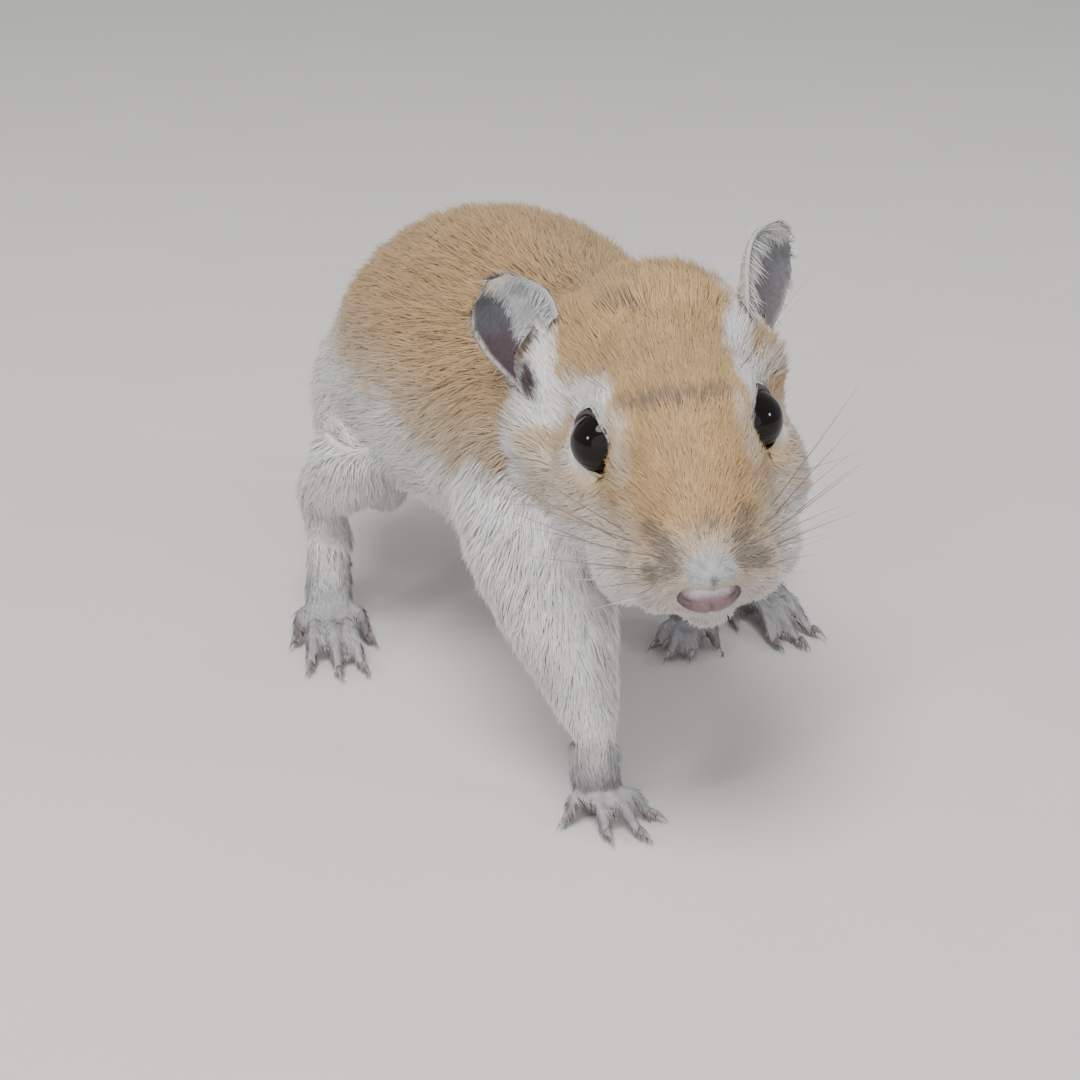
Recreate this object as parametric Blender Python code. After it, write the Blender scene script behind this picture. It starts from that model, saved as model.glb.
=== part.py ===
"""A young Mongolian gerbil, life size, stepping forward with its head low and its tail laid on the floor.

It faces -Y with +Z up, and its left side is +X. Sizes below are in millimetres and are turned to metres as
each mesh is made. The body is modelled whole from lofted forms, out to the tips of the coat, and thin cuts
part it into its nodes. Feet, ears, eyes and tail are forms of their own that meet it across the same gap.
"""

import math
import random
from collections import namedtuple

import bmesh
import bpy
from mathutils import Matrix, Vector

MM = 0.001
GAP = 0.3  # between nodes that touch
RIGHT, LEFT = -1, 1
SIDE_NAMES = {RIGHT: "right", LEFT: "left"}

# The head is held low and looks a little to its right. HEAD_AT is the point midway between the eyes.
HEAD_AT = (1.3, -52.9, 37.9)
HEAD_TURN = math.radians(-11.5)
HEAD_NOD = math.radians(11.5)
HEAD_ROLL = math.radians(-7.5)

EYE_AT = (6.35, 0.1, -0.6)  # in the head's frame, on the left
EYE_LOOK = (0.86, -0.45, 0.24)
EYE_RADIUS = 3.1
LID_THICK = 0.6

# The middle of each ear's root in the head's frame. The right ear is held lower and further out.
EAR_ROOTS = {RIGHT: (-10.9, 6.9, 0.5), LEFT: (8.3, 9.0, 1.4)}
EAR_BULGES = {RIGHT: (-9.6, 9.2, -1.6), LEFT: (8.6, 9.6, -0.8)}
EAR_RISES = {RIGHT: (-0.22, 0.74, 0.64), LEFT: (0.32, 0.71, 0.62)}
EAR_OPENINGS = {RIGHT: (-0.10, -0.77, 0.65), LEFT: (0.80, -0.55, 0.23)}
EAR_LENGTH = 12.5
EAR_HALF_WIDTHS = (0.9, 1.8, 2.7, 3.4, 3.9, 4.2, 4.1, 3.2, 1.0)
EAR_THICK = 0.7

# Where the head ends and the neck begins, and the neck and the torso: a point on each cut and its direction.
HEAD_CUT = ((1.0, -41.5, 36.0), (-0.05, -0.91, 0.41))
NECK_CUT = ((0.2, -33.0, 38.0), (0.0, -0.85, 0.53))

# Each foot: its ball on the floor, the turn and spread of its toes, and where the leg's end meets it.
Foot = namedtuple("Foot", "ball turn spread joint")
FORE_FEET = {
    RIGHT: Foot((-5.7, -53.4), math.radians(2), 1.0, (-6.1, -52.6, 8.4)),
    LEFT: Foot((16.4, -19.2), math.radians(-30), 0.6, (15.4, -17.4, 7.6)),
}
HIND_FEET = {
    RIGHT: Foot((-21.8, -7.6), math.radians(-9), 1.0, (-20.0, 0.2, 10.4)),
    LEFT: Foot((26.0, -15.0), math.radians(10), 0.9, (24.6, -6.4, 9.6)),
}
# Each toe from the outer side of the foot: across it, splay in degrees, length, and how far back it starts.
FINGERS = ((-1.9, -50, 2.6, 0.3), (-0.75, -4, 5.0, -0.5), (0.7, 13, 5.8, -0.6), (1.9, 37, 4.0, 0.0))
TOES = (
    (-2.6, -24, 3.4, 2.0),
    (-1.6, -8, 8.0, -0.2),
    (-0.1, 3, 9.3, -0.6),
    (1.3, 12, 9.0, -0.3),
    (2.5, 24, 4.4, 2.2),
)

# The tail leaves the rump, comes down to the floor behind and lies in one long bend towards the left.
TAIL_ROUTE = [
    (0.4, 23.0, 22.0, 4.6),
    (0.6, 29.0, 17.6, 3.7),
    (0.6, 35.0, 11.2, 3.1),
    (0.9, 42.0, 5.4, 2.8),
    (1.8, 50.0, 2.5, 2.6),
    (4.0, 60.0, 2.1, 2.45),
    (8.0, 70.0, 2.0, 2.3),
    (13.6, 80.0, 1.9, 2.1),
    (20.4, 89.0, 1.8, 1.9),
    (28.0, 96.6, 1.7, 1.6),
    (34.6, 101.6, 1.5, 0.9),
]
TAIL_CUTS = (0.40, 0.70)  # as shares of the route
TUFT_LOCKS = 22
TUFT_SEED = 7

COAT_GOLD = (0.62, 0.42, 0.22)
COAT_WHITE = (0.80, 0.77, 0.72)
PAW_GREY = (0.60, 0.55, 0.54)
EAR_GREY = (0.50, 0.45, 0.46)
EYE_BLACK = (0.012, 0.010, 0.012)


def clear_scene():
    for obj in list(bpy.data.objects):
        bpy.data.objects.remove(obj)


def finish(name, colour, roughness):
    """A Principled material for one kind of surface."""
    material = bpy.data.materials.get(name) or bpy.data.materials.new(name)
    material.use_nodes = True
    shader = material.node_tree.nodes["Principled BSDF"]
    shader.inputs["Base Color"].default_value = (*colour, 1)
    shader.inputs["Roughness"].default_value = roughness
    shader.inputs["Metallic"].default_value = 0
    return material


def add_object(name, bm):
    """A linked object from a bmesh, with its faces pointing out."""
    bmesh.ops.recalc_face_normals(bm, faces=bm.faces)
    mesh = bpy.data.meshes.new(name)
    bm.to_mesh(mesh)
    bm.free()
    obj = bpy.data.objects.new(name, mesh)
    bpy.context.scene.collection.objects.link(obj)
    return obj


def remove(*objects):
    for obj in objects:
        bpy.data.objects.remove(obj)


def apply_modifiers(obj):
    """Puts the evaluated mesh in place of the modifiers."""
    bpy.context.view_layer.update()
    depsgraph = bpy.context.evaluated_depsgraph_get()
    mesh = bpy.data.meshes.new_from_object(obj.evaluated_get(depsgraph))
    obj.modifiers.clear()
    obj.data = mesh
    return obj


def copy_of(obj, name):
    twin = bpy.data.objects.new(name, obj.data.copy())
    bpy.context.scene.collection.objects.link(twin)
    return twin


def between(before, start, end, after, t):
    """A Catmull-Rom value between start and end."""
    square = 2 * before - 5 * start + 4 * end - after
    cube = 3 * start - before - 3 * end + after
    return 0.5 * (2 * start + (end - before) * t + square * t**2 + cube * t**3)


def smooth_path(stations, steps):
    """Stations along a smooth curve through the given ones, steps to each gap."""
    padded = [stations[0], *stations, stations[-1]]
    path = []
    for four in zip(padded, padded[1:], padded[2:], padded[3:]):
        for k in range(steps):
            path.append(tuple(between(*values, k / steps) for values in zip(*four)))
    path.append(tuple(stations[-1]))
    return path


def tube_rings(bm, path, sides, up_hint):
    """Oval rings, each square to the path. A station is a centre, a half width and the reach up and down."""
    centres = [Vector(s[:3]) for s in path]
    rings = []
    for i, station in enumerate(path):
        along = (centres[min(i + 1, len(path) - 1)] - centres[max(i - 1, 0)]).normalized()
        across = along.cross(Vector(up_hint)).normalized()
        upward = across.cross(along)
        wide, up, down = station[3:6] if len(station) > 4 else (station[3],) * 3
        ring = []
        for k in range(sides):
            angle = math.tau * (k + 0.5) / sides
            rise = up if math.sin(angle) > 0 else down
            offset = across * (wide * math.cos(angle)) + upward * (rise * math.sin(angle))
            ring.append(bm.verts.new((centres[i] + offset) * MM))
        rings.append(ring)
    return rings


def skin_rings(bm, rings, capped=True):
    """Faces between rings, and flat ends."""
    sides = len(rings[0])
    for ring, following in zip(rings, rings[1:]):
        for k in range(sides):
            bm.faces.new((ring[k], ring[(k + 1) % sides], following[(k + 1) % sides], following[k]))
    if capped:
        bm.faces.new(rings[0][::-1])
        bm.faces.new(rings[-1])


def loft(name, stations, sides=24, steps=3, up_hint=(0, 0, 1), frame=None):
    """A closed body through oval sections."""
    bm = bmesh.new()
    skin_rings(bm, tube_rings(bm, smooth_path(stations, steps), sides, up_hint))
    if frame:
        bmesh.ops.transform(bm, matrix=frame, verts=bm.verts)
    return add_object(name, bm)


def ball(name, at, radii, turn=(0, 0, 0), frame=None, subdivisions=3):
    """An ellipsoid with the given radii, turned about X, then Y, then Z, in degrees."""
    bm = bmesh.new()
    bmesh.ops.create_icosphere(bm, subdivisions=subdivisions, radius=1)
    spin = Matrix.Identity(4)
    for angle, axis in zip(turn, "XYZ"):
        spin = Matrix.Rotation(math.radians(angle), 4, axis) @ spin
    place = Matrix.Translation(Vector(at) * MM) @ spin @ Matrix.Diagonal((*[r * MM for r in radii], 1))
    bmesh.ops.transform(bm, matrix=(frame or Matrix.Identity(4)) @ place, verts=bm.verts)
    return add_object(name, bm)


def half_space(name, at, outward, size=260):
    """A block whose flat face lies at a point and looks back along a direction. It fills all beyond it."""
    bm = bmesh.new()
    bmesh.ops.create_cube(bm, size=size * MM)
    aim = Vector(outward).to_track_quat("Z", "Y").to_matrix().to_4x4()
    shift = Matrix.Translation((0, 0, size * MM / 2))
    bmesh.ops.transform(bm, matrix=Matrix.Translation(Vector(at) * MM) @ aim @ shift, verts=bm.verts)
    return add_object(name, bm)


def combine(obj, others, operation, solver="EXACT"):
    """One Boolean of obj with a collection of closed bodies, which are then removed."""
    tools = bpy.data.collections.new("tools")
    bpy.context.scene.collection.children.link(tools)
    for other in others:
        tools.objects.link(other)
    modifier = obj.modifiers.new("combine", "BOOLEAN")
    modifier.operation = operation
    modifier.solver = solver
    modifier.operand_type = "COLLECTION"
    modifier.collection = tools
    apply_modifiers(obj)
    remove(*others)
    bpy.data.collections.remove(tools)
    return obj


def keep_largest(obj):
    """Leaves only the closed surface that holds the most volume."""
    bm = bmesh.new()
    bm.from_mesh(obj.data)
    bmesh.ops.remove_doubles(bm, verts=bm.verts, dist=1e-7)
    bmesh.ops.triangulate(bm, faces=bm.faces)
    unseen = set(bm.faces)
    islands = []
    while unseen:
        stack = [unseen.pop()]
        island = []
        while stack:
            face = stack.pop()
            island.append(face)
            for edge in face.edges:
                for near in edge.link_faces:
                    if near in unseen:
                        unseen.remove(near)
                        stack.append(near)
        islands.append(island)
    largest = max(
        islands, key=lambda island: sum(f.verts[0].co.dot(f.verts[1].co.cross(f.verts[2].co)) for f in island)
    )
    spare = [f for island in islands if island is not largest for f in island]
    bmesh.ops.delete(bm, geom=spare, context="FACES")
    bmesh.ops.delete(bm, geom=[v for v in bm.verts if not v.link_faces], context="VERTS")
    bm.to_mesh(obj.data)
    bm.free()
    return obj


def sculpt(name, pieces, voxel, smoothing):
    """Fuses overlapping forms into one soft body. The pieces are removed."""
    bm = bmesh.new()
    for piece in pieces:
        bm.from_mesh(piece.data)
    remove(*pieces)
    body = add_object(name, bm)
    fuse = body.modifiers.new("fuse", "REMESH")
    fuse.mode = "VOXEL"
    fuse.voxel_size = voxel * MM
    soften = body.modifiers.new("soften", "SMOOTH")
    soften.factor = 0.5
    soften.iterations = smoothing
    return apply_modifiers(body)


def thin_out(obj, triangles):
    """Collapses a mesh to about that many triangles, keeping its form."""
    obj.data.calc_loop_triangles()
    count = len(obj.data.loop_triangles)
    if count > triangles:
        collapse = obj.modifiers.new("thin", "DECIMATE")
        collapse.ratio = triangles / count
        collapse.use_collapse_triangulate = True
        apply_modifiers(obj)
    return obj


def head_frame():
    """The head's own frame: -Y forward, +Z up, +X left, with its origin midway between the eyes."""
    turn = Matrix.Rotation(HEAD_TURN, 4, "Z")
    nod = Matrix.Rotation(HEAD_NOD, 4, "X")
    roll = Matrix.Rotation(HEAD_ROLL, 4, "Y")
    return Matrix.Translation(Vector(HEAD_AT) * MM) @ turn @ nod @ roll


def in_head(point):
    return head_frame() @ (Vector(point) * MM) / MM


def along_head(direction):
    return (head_frame().to_3x3() @ Vector(direction)).normalized()


def trunk_forms():
    """The torso and the neck, from the rump to behind the ears, arched, and the chest under them."""
    back = [
        (0.3, 29.0, 20.5, 3.0, 3.0, 3.5),
        (0.3, 27.0, 21.0, 6.6, 5.6, 6.0),
        (0.3, 23.5, 22.0, 10.8, 10.2, 8.6),
        (0.3, 18.5, 23.6, 14.0, 13.5, 10.6),
        (0.2, 12.0, 25.0, 16.6, 16.6, 12.5),
        (0.0, 4.5, 26.4, 18.4, 18.5, 13.7),
        (0.0, -4.0, 27.2, 18.6, 19.2, 14.3),
        (0.2, -13.0, 28.0, 17.5, 18.7, 14.6),
        (0.5, -22.0, 29.0, 15.8, 17.0, 14.8),
        (0.8, -31.0, 30.6, 14.6, 15.2, 15.0),
        (1.0, -38.0, 33.2, 13.6, 13.6, 13.0),
        (1.2, -45.0, 36.2, 11.6, 12.2, 10.0),
    ]
    chest = [
        (0.0, -22.0, 20.0, 8.0, 6.0, 5.0),
        (-0.4, -30.0, 20.0, 10.0, 7.0, 6.2),
        (-0.6, -37.0, 21.6, 9.6, 7.0, 6.2),
        (0.0, -43.0, 25.6, 7.0, 6.0, 5.0),
    ]
    return [loft("back", back, sides=32), loft("chest", chest)]


def head_forms():
    """The skull, muzzle, whisker pads, nose, chin, cheeks and brows, and the roots of the ears."""
    frame = head_frame()
    skull = [
        (0.0, -17.0, -6.0, 2.4, 2.0, 2.6),
        (0.0, -15.6, -6.0, 4.4, 3.4, 4.2),
        (0.0, -13.0, -5.8, 5.8, 4.8, 5.2),
        (0.0, -9.0, -4.8, 7.0, 6.4, 7.0),
        (0.0, -5.0, -3.9, 7.6, 8.0, 9.0),
        (0.0, -1.0, -3.2, 8.1, 9.5, 10.4),
        (0.0, 3.0, -4.0, 9.6, 11.7, 10.0),
        (0.0, 7.0, -5.0, 11.2, 13.6, 9.4),
        (0.0, 11.0, -5.0, 11.7, 14.1, 9.6),
        (0.0, 15.0, -5.6, 11.7, 13.9, 9.6),
        (0.0, 19.0, -6.0, 11.0, 12.0, 9.0),
    ]
    pieces = [
        loft("skull", skull, sides=32, frame=frame),
        ball("nose", (0, -16.9, -5.2), (2.5, 1.5, 1.7), turn=(-10, 0, 0), frame=frame),
        ball("chin", (0, -10.6, -10.6), (3.4, 4.6, 2.4), turn=(8, 0, 0), frame=frame),
    ]
    for side in (RIGHT, LEFT):
        pieces += [
            ball("pad", (side * 3.3, -12.0, -7.0), (3.3, 4.6, 3.7), (6, 0, side * 18), frame),
            ball("cheek", (side * 6.7, 4.6, -7.2), (5.2, 9.6, 6.8), (0, 0, side * 12), frame),
            ball("jowl", (side * 4.9, -4.2, -8.2), (4.5, 8.2, 5.2), (4, 0, side * 14), frame),
            ball("brow", (side * 4.6, 0.8, 2.8), (3.2, 5.6, 2.8), (0, 0, side * 8), frame),
            ball("ear_root", EAR_BULGES[side], (3.2, 3.8, 4.2), frame=frame),
        ]
    return pieces


def eye_place(side):
    """The centre of an eyeball, and the way it looks out of the head."""
    centre = in_head((side * EYE_AT[0], EYE_AT[1], EYE_AT[2]))
    look = along_head((side * EYE_LOOK[0], EYE_LOOK[1], EYE_LOOK[2]))
    return centre, look


def eye_axes(side):
    """Along the opening of the lids, towards its front corner, and across it."""
    _, look = eye_place(side)
    forward = along_head((0, -1, -0.55))
    along = (forward - look * forward.dot(look)).normalized()
    return along, along.cross(look) * side


def lid_ring(side):
    """The rim of the lids: a closed ring round the eyeball, longer than high, with a drawn-out corner."""
    centre, look = eye_place(side)
    along, upward = eye_axes(side)
    count, sides = 22, 6
    points = []
    for k in range(count):
        angle = math.tau * k / count
        point_out = max(0.0, math.cos(angle)) ** 6
        reach = EYE_RADIUS * (0.98 + 0.20 * point_out)
        height = EYE_RADIUS * 0.92
        lift = EYE_RADIUS * (0.40 - 0.26 * point_out)
        points.append(
            centre + look * lift + along * (reach * math.cos(angle)) + upward * (height * math.sin(angle))
        )
    bm = bmesh.new()
    rings = []
    for k, point in enumerate(points):
        forward = (points[(k + 1) % count] - points[k - 1]).normalized()
        across = forward.cross(look).normalized()
        ring = []
        for j in range(sides):
            angle = math.tau * j / sides
            offset = across * math.cos(angle) + look * math.sin(angle)
            ring.append(bm.verts.new((point + offset * LID_THICK) * MM))
        rings.append(ring)
    skin_rings(bm, [*rings, rings[0]], capped=False)
    return add_object("lid", bm)


def haunch_forms(side, more=0.0):
    """Thigh and shank, from the side of the rump to the ankle. More makes them stouter all round."""
    x, y, z = HIND_FEET[side].joint
    thigh_at, swing = ((-13.2, 8.2, 21.0), -3) if side == RIGHT else ((14.6, 1.0, 21.6), 12)
    radii = [r + more for r in (6.6, 14.2, 9.4)]
    thigh = ball("thigh", thigh_at, radii, turn=(18, 0, swing))
    shank = [
        (x - side * 3.4, y - 4.4, z + 11.2, 4.6 + more, 5.4 + more, 5.4 + more),
        (x - side * 1.2, y - 3.8, z + 7.8, 4.3 + more, 5.2 + more, 4.6 + more),
        (x + side * 0.1, y + 0.8, z + 4.2, 3.5 + more, 3.9 + more, 3.2 + more),
        (x, y + 1.6, z + 1.4, 3.0 + more, 3.0 + more, 3.0 + more),
        (x, y - 0.6, z - 1.4, 2.8 + more, 2.7 + more, 2.7 + more),
    ]
    return [thigh, loft("shank", shank, sides=16)]


def foreleg_forms(side, more=0.0):
    """Upper arm and forearm, from the side of the chest to the wrist. More makes them stouter all round."""
    x, y, z = FORE_FEET[side].joint
    if side == RIGHT:
        arm = [
            (-8.6, -33.0, 28.0, 5.0, 6.0),
            (-8.2, -40.0, 23.4, 6.2, 6.8),
            (-7.2, -45.6, 17.8, 5.6, 5.8),
            (-6.5, -49.6, 12.8, 3.9, 3.9),
        ]
    else:
        arm = [
            (8.8, -34.0, 26.0, 5.0, 6.0),
            (9.8, -29.0, 20.6, 5.2, 5.6),
            (11.4, -23.8, 15.0, 4.2, 4.4),
            (13.6, -19.2, 10.8, 3.1, 3.1),
        ]
    arm.append((x, y, z, 2.4, 2.4))
    arm.append((x + 0.2, y - 1.0, z - 2.4, 2.2, 2.2))
    stations = [(a, b, c, wide + more, deep + more, deep + more) for a, b, c, wide, deep in arm]
    return [loft("arm", stations, sides=16, up_hint=(1, 0, 0))]


def toe(root, turn, length, radius, claw):
    """A toe from its root on the foot to the floor, and its claw."""
    ahead = Vector((math.sin(turn), -math.cos(turn), 0))
    low = radius * 0.76
    path = [
        (*root, radius * 0.95),
        (*(Vector(root) + ahead * length * 0.38 + Vector((0, 0, 0.5))), radius),
        (*(Vector(root) + ahead * length * 0.76).xy, low + 0.15, radius * 0.94),
        (*(Vector(root) + ahead * length).xy, low, radius * 0.7),
    ]
    bm = bmesh.new()
    skin_rings(bm, tube_rings(bm, smooth_path(path, 3), 10, (0, 0, 1)))
    tip = Vector(path[-1][:3])
    nail = [
        (*(tip - ahead * 0.6 + Vector((0, 0, 0.25))), 0.48),
        (*(tip + ahead * claw * 0.5 + Vector((0, 0, 0.3))), 0.38),
        (*(tip + ahead * claw + Vector((0, 0, -0.25))), 0.16),
    ]
    skin_rings(bm, tube_rings(bm, smooth_path(nail, 2), 8, (0, 0, 1)))
    return add_object("toe", bm)


def toes_of(foot, side, toes, height, radius, claw):
    """The toes of one foot, from the ball of the foot forward."""
    made = []
    for across, splay, length, back in toes:
        root = Vector((*foot.ball, height)) + turned((-side * across, back, 0), foot.turn)
        heading = foot.turn - side * math.radians(splay * foot.spread)
        made.append(toe(root, heading, length, radius, claw))
    return made


def turned(point, turn):
    """A point of a foot that points straight ahead, turned about the vertical."""
    x, y, z = point
    return Vector((x * math.cos(turn) - y * math.sin(turn), x * math.sin(turn) + y * math.cos(turn), z))


def forepaw(side):
    """Palm, four fingers with claws, and the wrist up to the cut."""
    foot = FORE_FEET[side]
    ball_at = Vector((*foot.ball, 0))
    wrist = Vector(foot.joint)
    palm = [
        (*(wrist + Vector((0, 0.4, 1.6))), 2.3, 2.3, 2.3),
        (*wrist, 2.3, 2.3, 2.3),
        (*(wrist.lerp(ball_at + Vector((0, 0, 1.6)), 0.55) + turned((0, 0.6, 0), foot.turn)), 2.3, 2.1, 2.1),
        (*(ball_at + turned((0, 1.4, 2.2), foot.turn)), 2.5, 1.5, 2.4),
        (*(ball_at + turned((0, -0.6, 1.8), foot.turn)), 2.4, 1.1, 2.0),
    ]
    pieces = [loft("palm", palm, sides=16), *toes_of(foot, side, FINGERS, 1.8, 0.8, 1.7)]
    return foot_solid(f"forepaw_{SIDE_NAMES[side]}", pieces, foot, 760)


def hindfoot(side):
    """The long middle foot from the heel to the ball, and five toes with claws."""
    foot = HIND_FEET[side]
    ball_at = Vector((*foot.ball, 0))
    heel = Vector(foot.joint)
    middle = [
        (*(heel + Vector((0, 0.8, 1.8))), 2.8, 2.7, 2.7),
        (*heel, 2.8, 2.7, 2.7),
        (*(heel.lerp(ball_at + Vector((0, 0, 2.0)), 0.45) + Vector((0, 0.6, 0))), 2.6, 2.2, 2.2),
        (*(ball_at + turned((0, 2.2, 3.4), foot.turn)), 2.8, 1.7, 2.8),
        (*(ball_at + turned((0, -0.4, 2.6), foot.turn)), 3.0, 1.2, 2.8),
    ]
    pieces = [loft("middle_foot", middle, sides=16), *toes_of(foot, side, TOES, 2.7, 0.88, 1.9)]
    return foot_solid(f"hindfoot_{SIDE_NAMES[side]}", pieces, foot, 900)


def foot_solid(name, pieces, foot, triangles):
    """Fuses a foot, cuts it flat where it stands and where the leg meets it."""
    solid = thin_out(sculpt(name, pieces, 0.2, 3), triangles)
    combine(solid, [half_space("floor", (0, 0, 0), (0, 0, -1))], "DIFFERENCE")
    top = Vector(foot.joint) - Vector((0, 0, GAP))
    combine(solid, [half_space("above", top, (0, 0, 1))], "DIFFERENCE")
    return keep_largest(solid)


def ear(side):
    """A thin leaf-shaped cup that stands on the ear's root and opens forward and outward."""
    rise = Vector(EAR_RISES[side]).normalized()
    opening = Vector(EAR_OPENINGS[side])
    opening = (opening - rise * opening.dot(rise)).normalized()
    across = rise.cross(opening)
    root = Vector(EAR_ROOTS[side])
    rows = smooth_path([(half,) for half in EAR_HALF_WIDTHS], 2)
    columns = 9
    backs, fronts = [], []
    for i, (half,) in enumerate(rows):
        share = i / (len(rows) - 1)
        wrap = math.radians(78 - 42 * share)
        thick = EAR_THICK * (1.1 - 0.35 * share)
        middle = root + rise * (EAR_LENGTH * share) + opening * (1.4 * share**2 - half * 0.5)
        back, front = [], []
        for j in range(columns + 1):
            angle = wrap * (2 * j / columns - 1)
            bend = half / math.sin(wrap)
            place = middle + across * (bend * math.sin(angle)) + opening * (bend * (1 - math.cos(angle)))
            inward = opening * math.cos(angle) - across * math.sin(angle)
            back.append(place)
            front.append(place + inward * thick)
        backs.append(back)
        fronts.append(front)
    bm = bmesh.new()
    backs = [[bm.verts.new(p * MM) for p in row] for row in backs]
    fronts = [[bm.verts.new(p * MM) for p in row] for row in fronts]
    rings = [back + front[::-1] for back, front in zip(backs, fronts)]
    skin_rings(bm, rings, capped=False)
    for back, front in ((backs[0], fronts[0]), (backs[-1], fronts[-1])):
        for j in range(columns):
            bm.faces.new((back[j], back[j + 1], front[j + 1], front[j]))
    bmesh.ops.transform(bm, matrix=head_frame(), verts=bm.verts)
    return add_object(f"ear_{SIDE_NAMES[side]}", bm)


def eyeball(side, more=0.0, name="eye"):
    centre, _ = eye_place(side)
    return ball(f"{name}_{SIDE_NAMES[side]}", centre, (EYE_RADIUS + more,) * 3)


def mouth_cuts():
    """The line of the mouth, the cleft under the nose and the two nostrils, as cutters."""
    frame = head_frame()
    line = []
    for k in range(9):
        share = k / 4 - 1
        line.append((4.3 * share, -16.9 + 6.6 * share**2, -9.9 - 1.0 * abs(share), 0.30, 1.5, 1.5))
    cleft = [
        (0, -18.6, -6.8, 0.28, 0.6, 0.6),
        (0, -17.6, -8.4, 0.28, 1.1, 1.1),
        (0, -16.6, -10.0, 0.28, 0.9, 0.9),
    ]
    cuts = [
        loft("mouth", line, sides=6, steps=1, up_hint=(0, -0.8, 0.2), frame=frame),
        loft("cleft", cleft, sides=6, steps=2, up_hint=(0, -1, 0), frame=frame),
    ]
    for side in (RIGHT, LEFT):
        radii, turn = (0.42, 0.9, 0.62), (0, side * 30, 0)
        cuts.append(ball("nostril", (side * 1.3, -18.2, -5.2), radii, turn, frame, subdivisions=2))
    return cuts


def swell(obj, name, amount):
    """A copy grown outwards by an amount all round, which cuts a neighbour back by that gap."""
    twin = copy_of(obj, name)
    grow = twin.modifiers.new("grow", "DISPLACE")
    grow.strength = amount * MM
    grow.mid_level = 0
    return apply_modifiers(twin)


def part_limb(body, name, region, end, triangles):
    """Takes what of the body is inside a region as a limb with a flat end, and leaves the rest with a gap."""
    limb = combine(copy_of(body, name), [copy_of(region, "inside")], "INTERSECT")
    combine(limb, [half_space("below", end, (0, 0, -1), 16)], "DIFFERENCE")
    thin_out(keep_largest(limb), triangles)
    combine(body, [swell(region, "outside", GAP)], "DIFFERENCE")
    remove(region)
    return limb


def tuft_locks(path):
    """Flat tapered locks that leave the end of the tail, lie back along it and overlap, out past its tip."""
    draw = random.Random(TUFT_SEED)
    locks = []
    for k in range(TUFT_LOCKS):
        share = k / (TUFT_LOCKS - 1)
        index = 2 + round(share * (len(path) - 4))
        here, following = Vector(path[index][:3]), Vector(path[index + 1][:3])
        ahead = (following - here).normalized()
        across = ahead.cross(Vector((0, 0, 1))).normalized()
        around = math.radians(-12 + 204 * ((k * 0.382) % 1))
        outward = across * math.cos(around) + across.cross(ahead) * math.sin(around)
        root = here + outward * (path[index][3] * 0.45)
        length = (6.6 + 2.4 * share) * draw.uniform(0.9, 1.1)
        spread = draw.uniform(0.9, 1.5)
        lock = [
            (*(root - ahead * 0.5), 0.9, 0.42, 0.42),
            (*(root + ahead * (0.34 * length) + outward * (0.7 * spread)), 1.05, 0.4, 0.4),
            (*(root + ahead * (0.7 * length) + outward * (1.15 * spread)), 0.7, 0.32, 0.32),
            (*(root + ahead * length + outward * spread), 0.16, 0.14, 0.14),
        ]
        locks.append(loft("lock", lock, sides=6, steps=1, up_hint=outward))
    return locks


def tail_lengths(body):
    """The tail in three lengths with a small gap between them, lying flat on the floor."""
    path = smooth_path(TAIL_ROUTE, 3)
    count = len(path) - 1
    ends = [0, *(round(count * cut) for cut in TAIL_CUTS), count]
    nodes = []
    for name, start, end in zip(("tail_base", "tail_middle", "tail_tip"), ends, ends[1:]):
        piece = loft(name, path[start : end + 1], sides=12, steps=1)
        if end < count:
            here, following = Vector(path[end][:3]), Vector(path[end + 1][:3])
            ahead = (following - here).normalized()
            combine(piece, [half_space("gap", here - ahead * GAP, ahead)], "DIFFERENCE")
        else:
            combine(piece, tuft_locks(path[start:]), "UNION")
        if start == 0:
            combine(piece, [swell(body, "rump", GAP)], "DIFFERENCE")
        combine(piece, [half_space("floor", (0, 0, 0), (0, 0, -1))], "DIFFERENCE")
        nodes.append(keep_largest(piece))
    return nodes


def stand_at_origin(nodes):
    """Moves the animal so that the middle of its box's lower face is the origin."""
    corners = [Vector(corner) for obj in nodes for corner in obj.bound_box]
    middle = [(min(c[i] for c in corners) + max(c[i] for c in corners)) / 2 for i in (0, 1)]
    for obj in nodes:
        obj.data.transform(Matrix.Translation((-middle[0], -middle[1], 0)))


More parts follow.
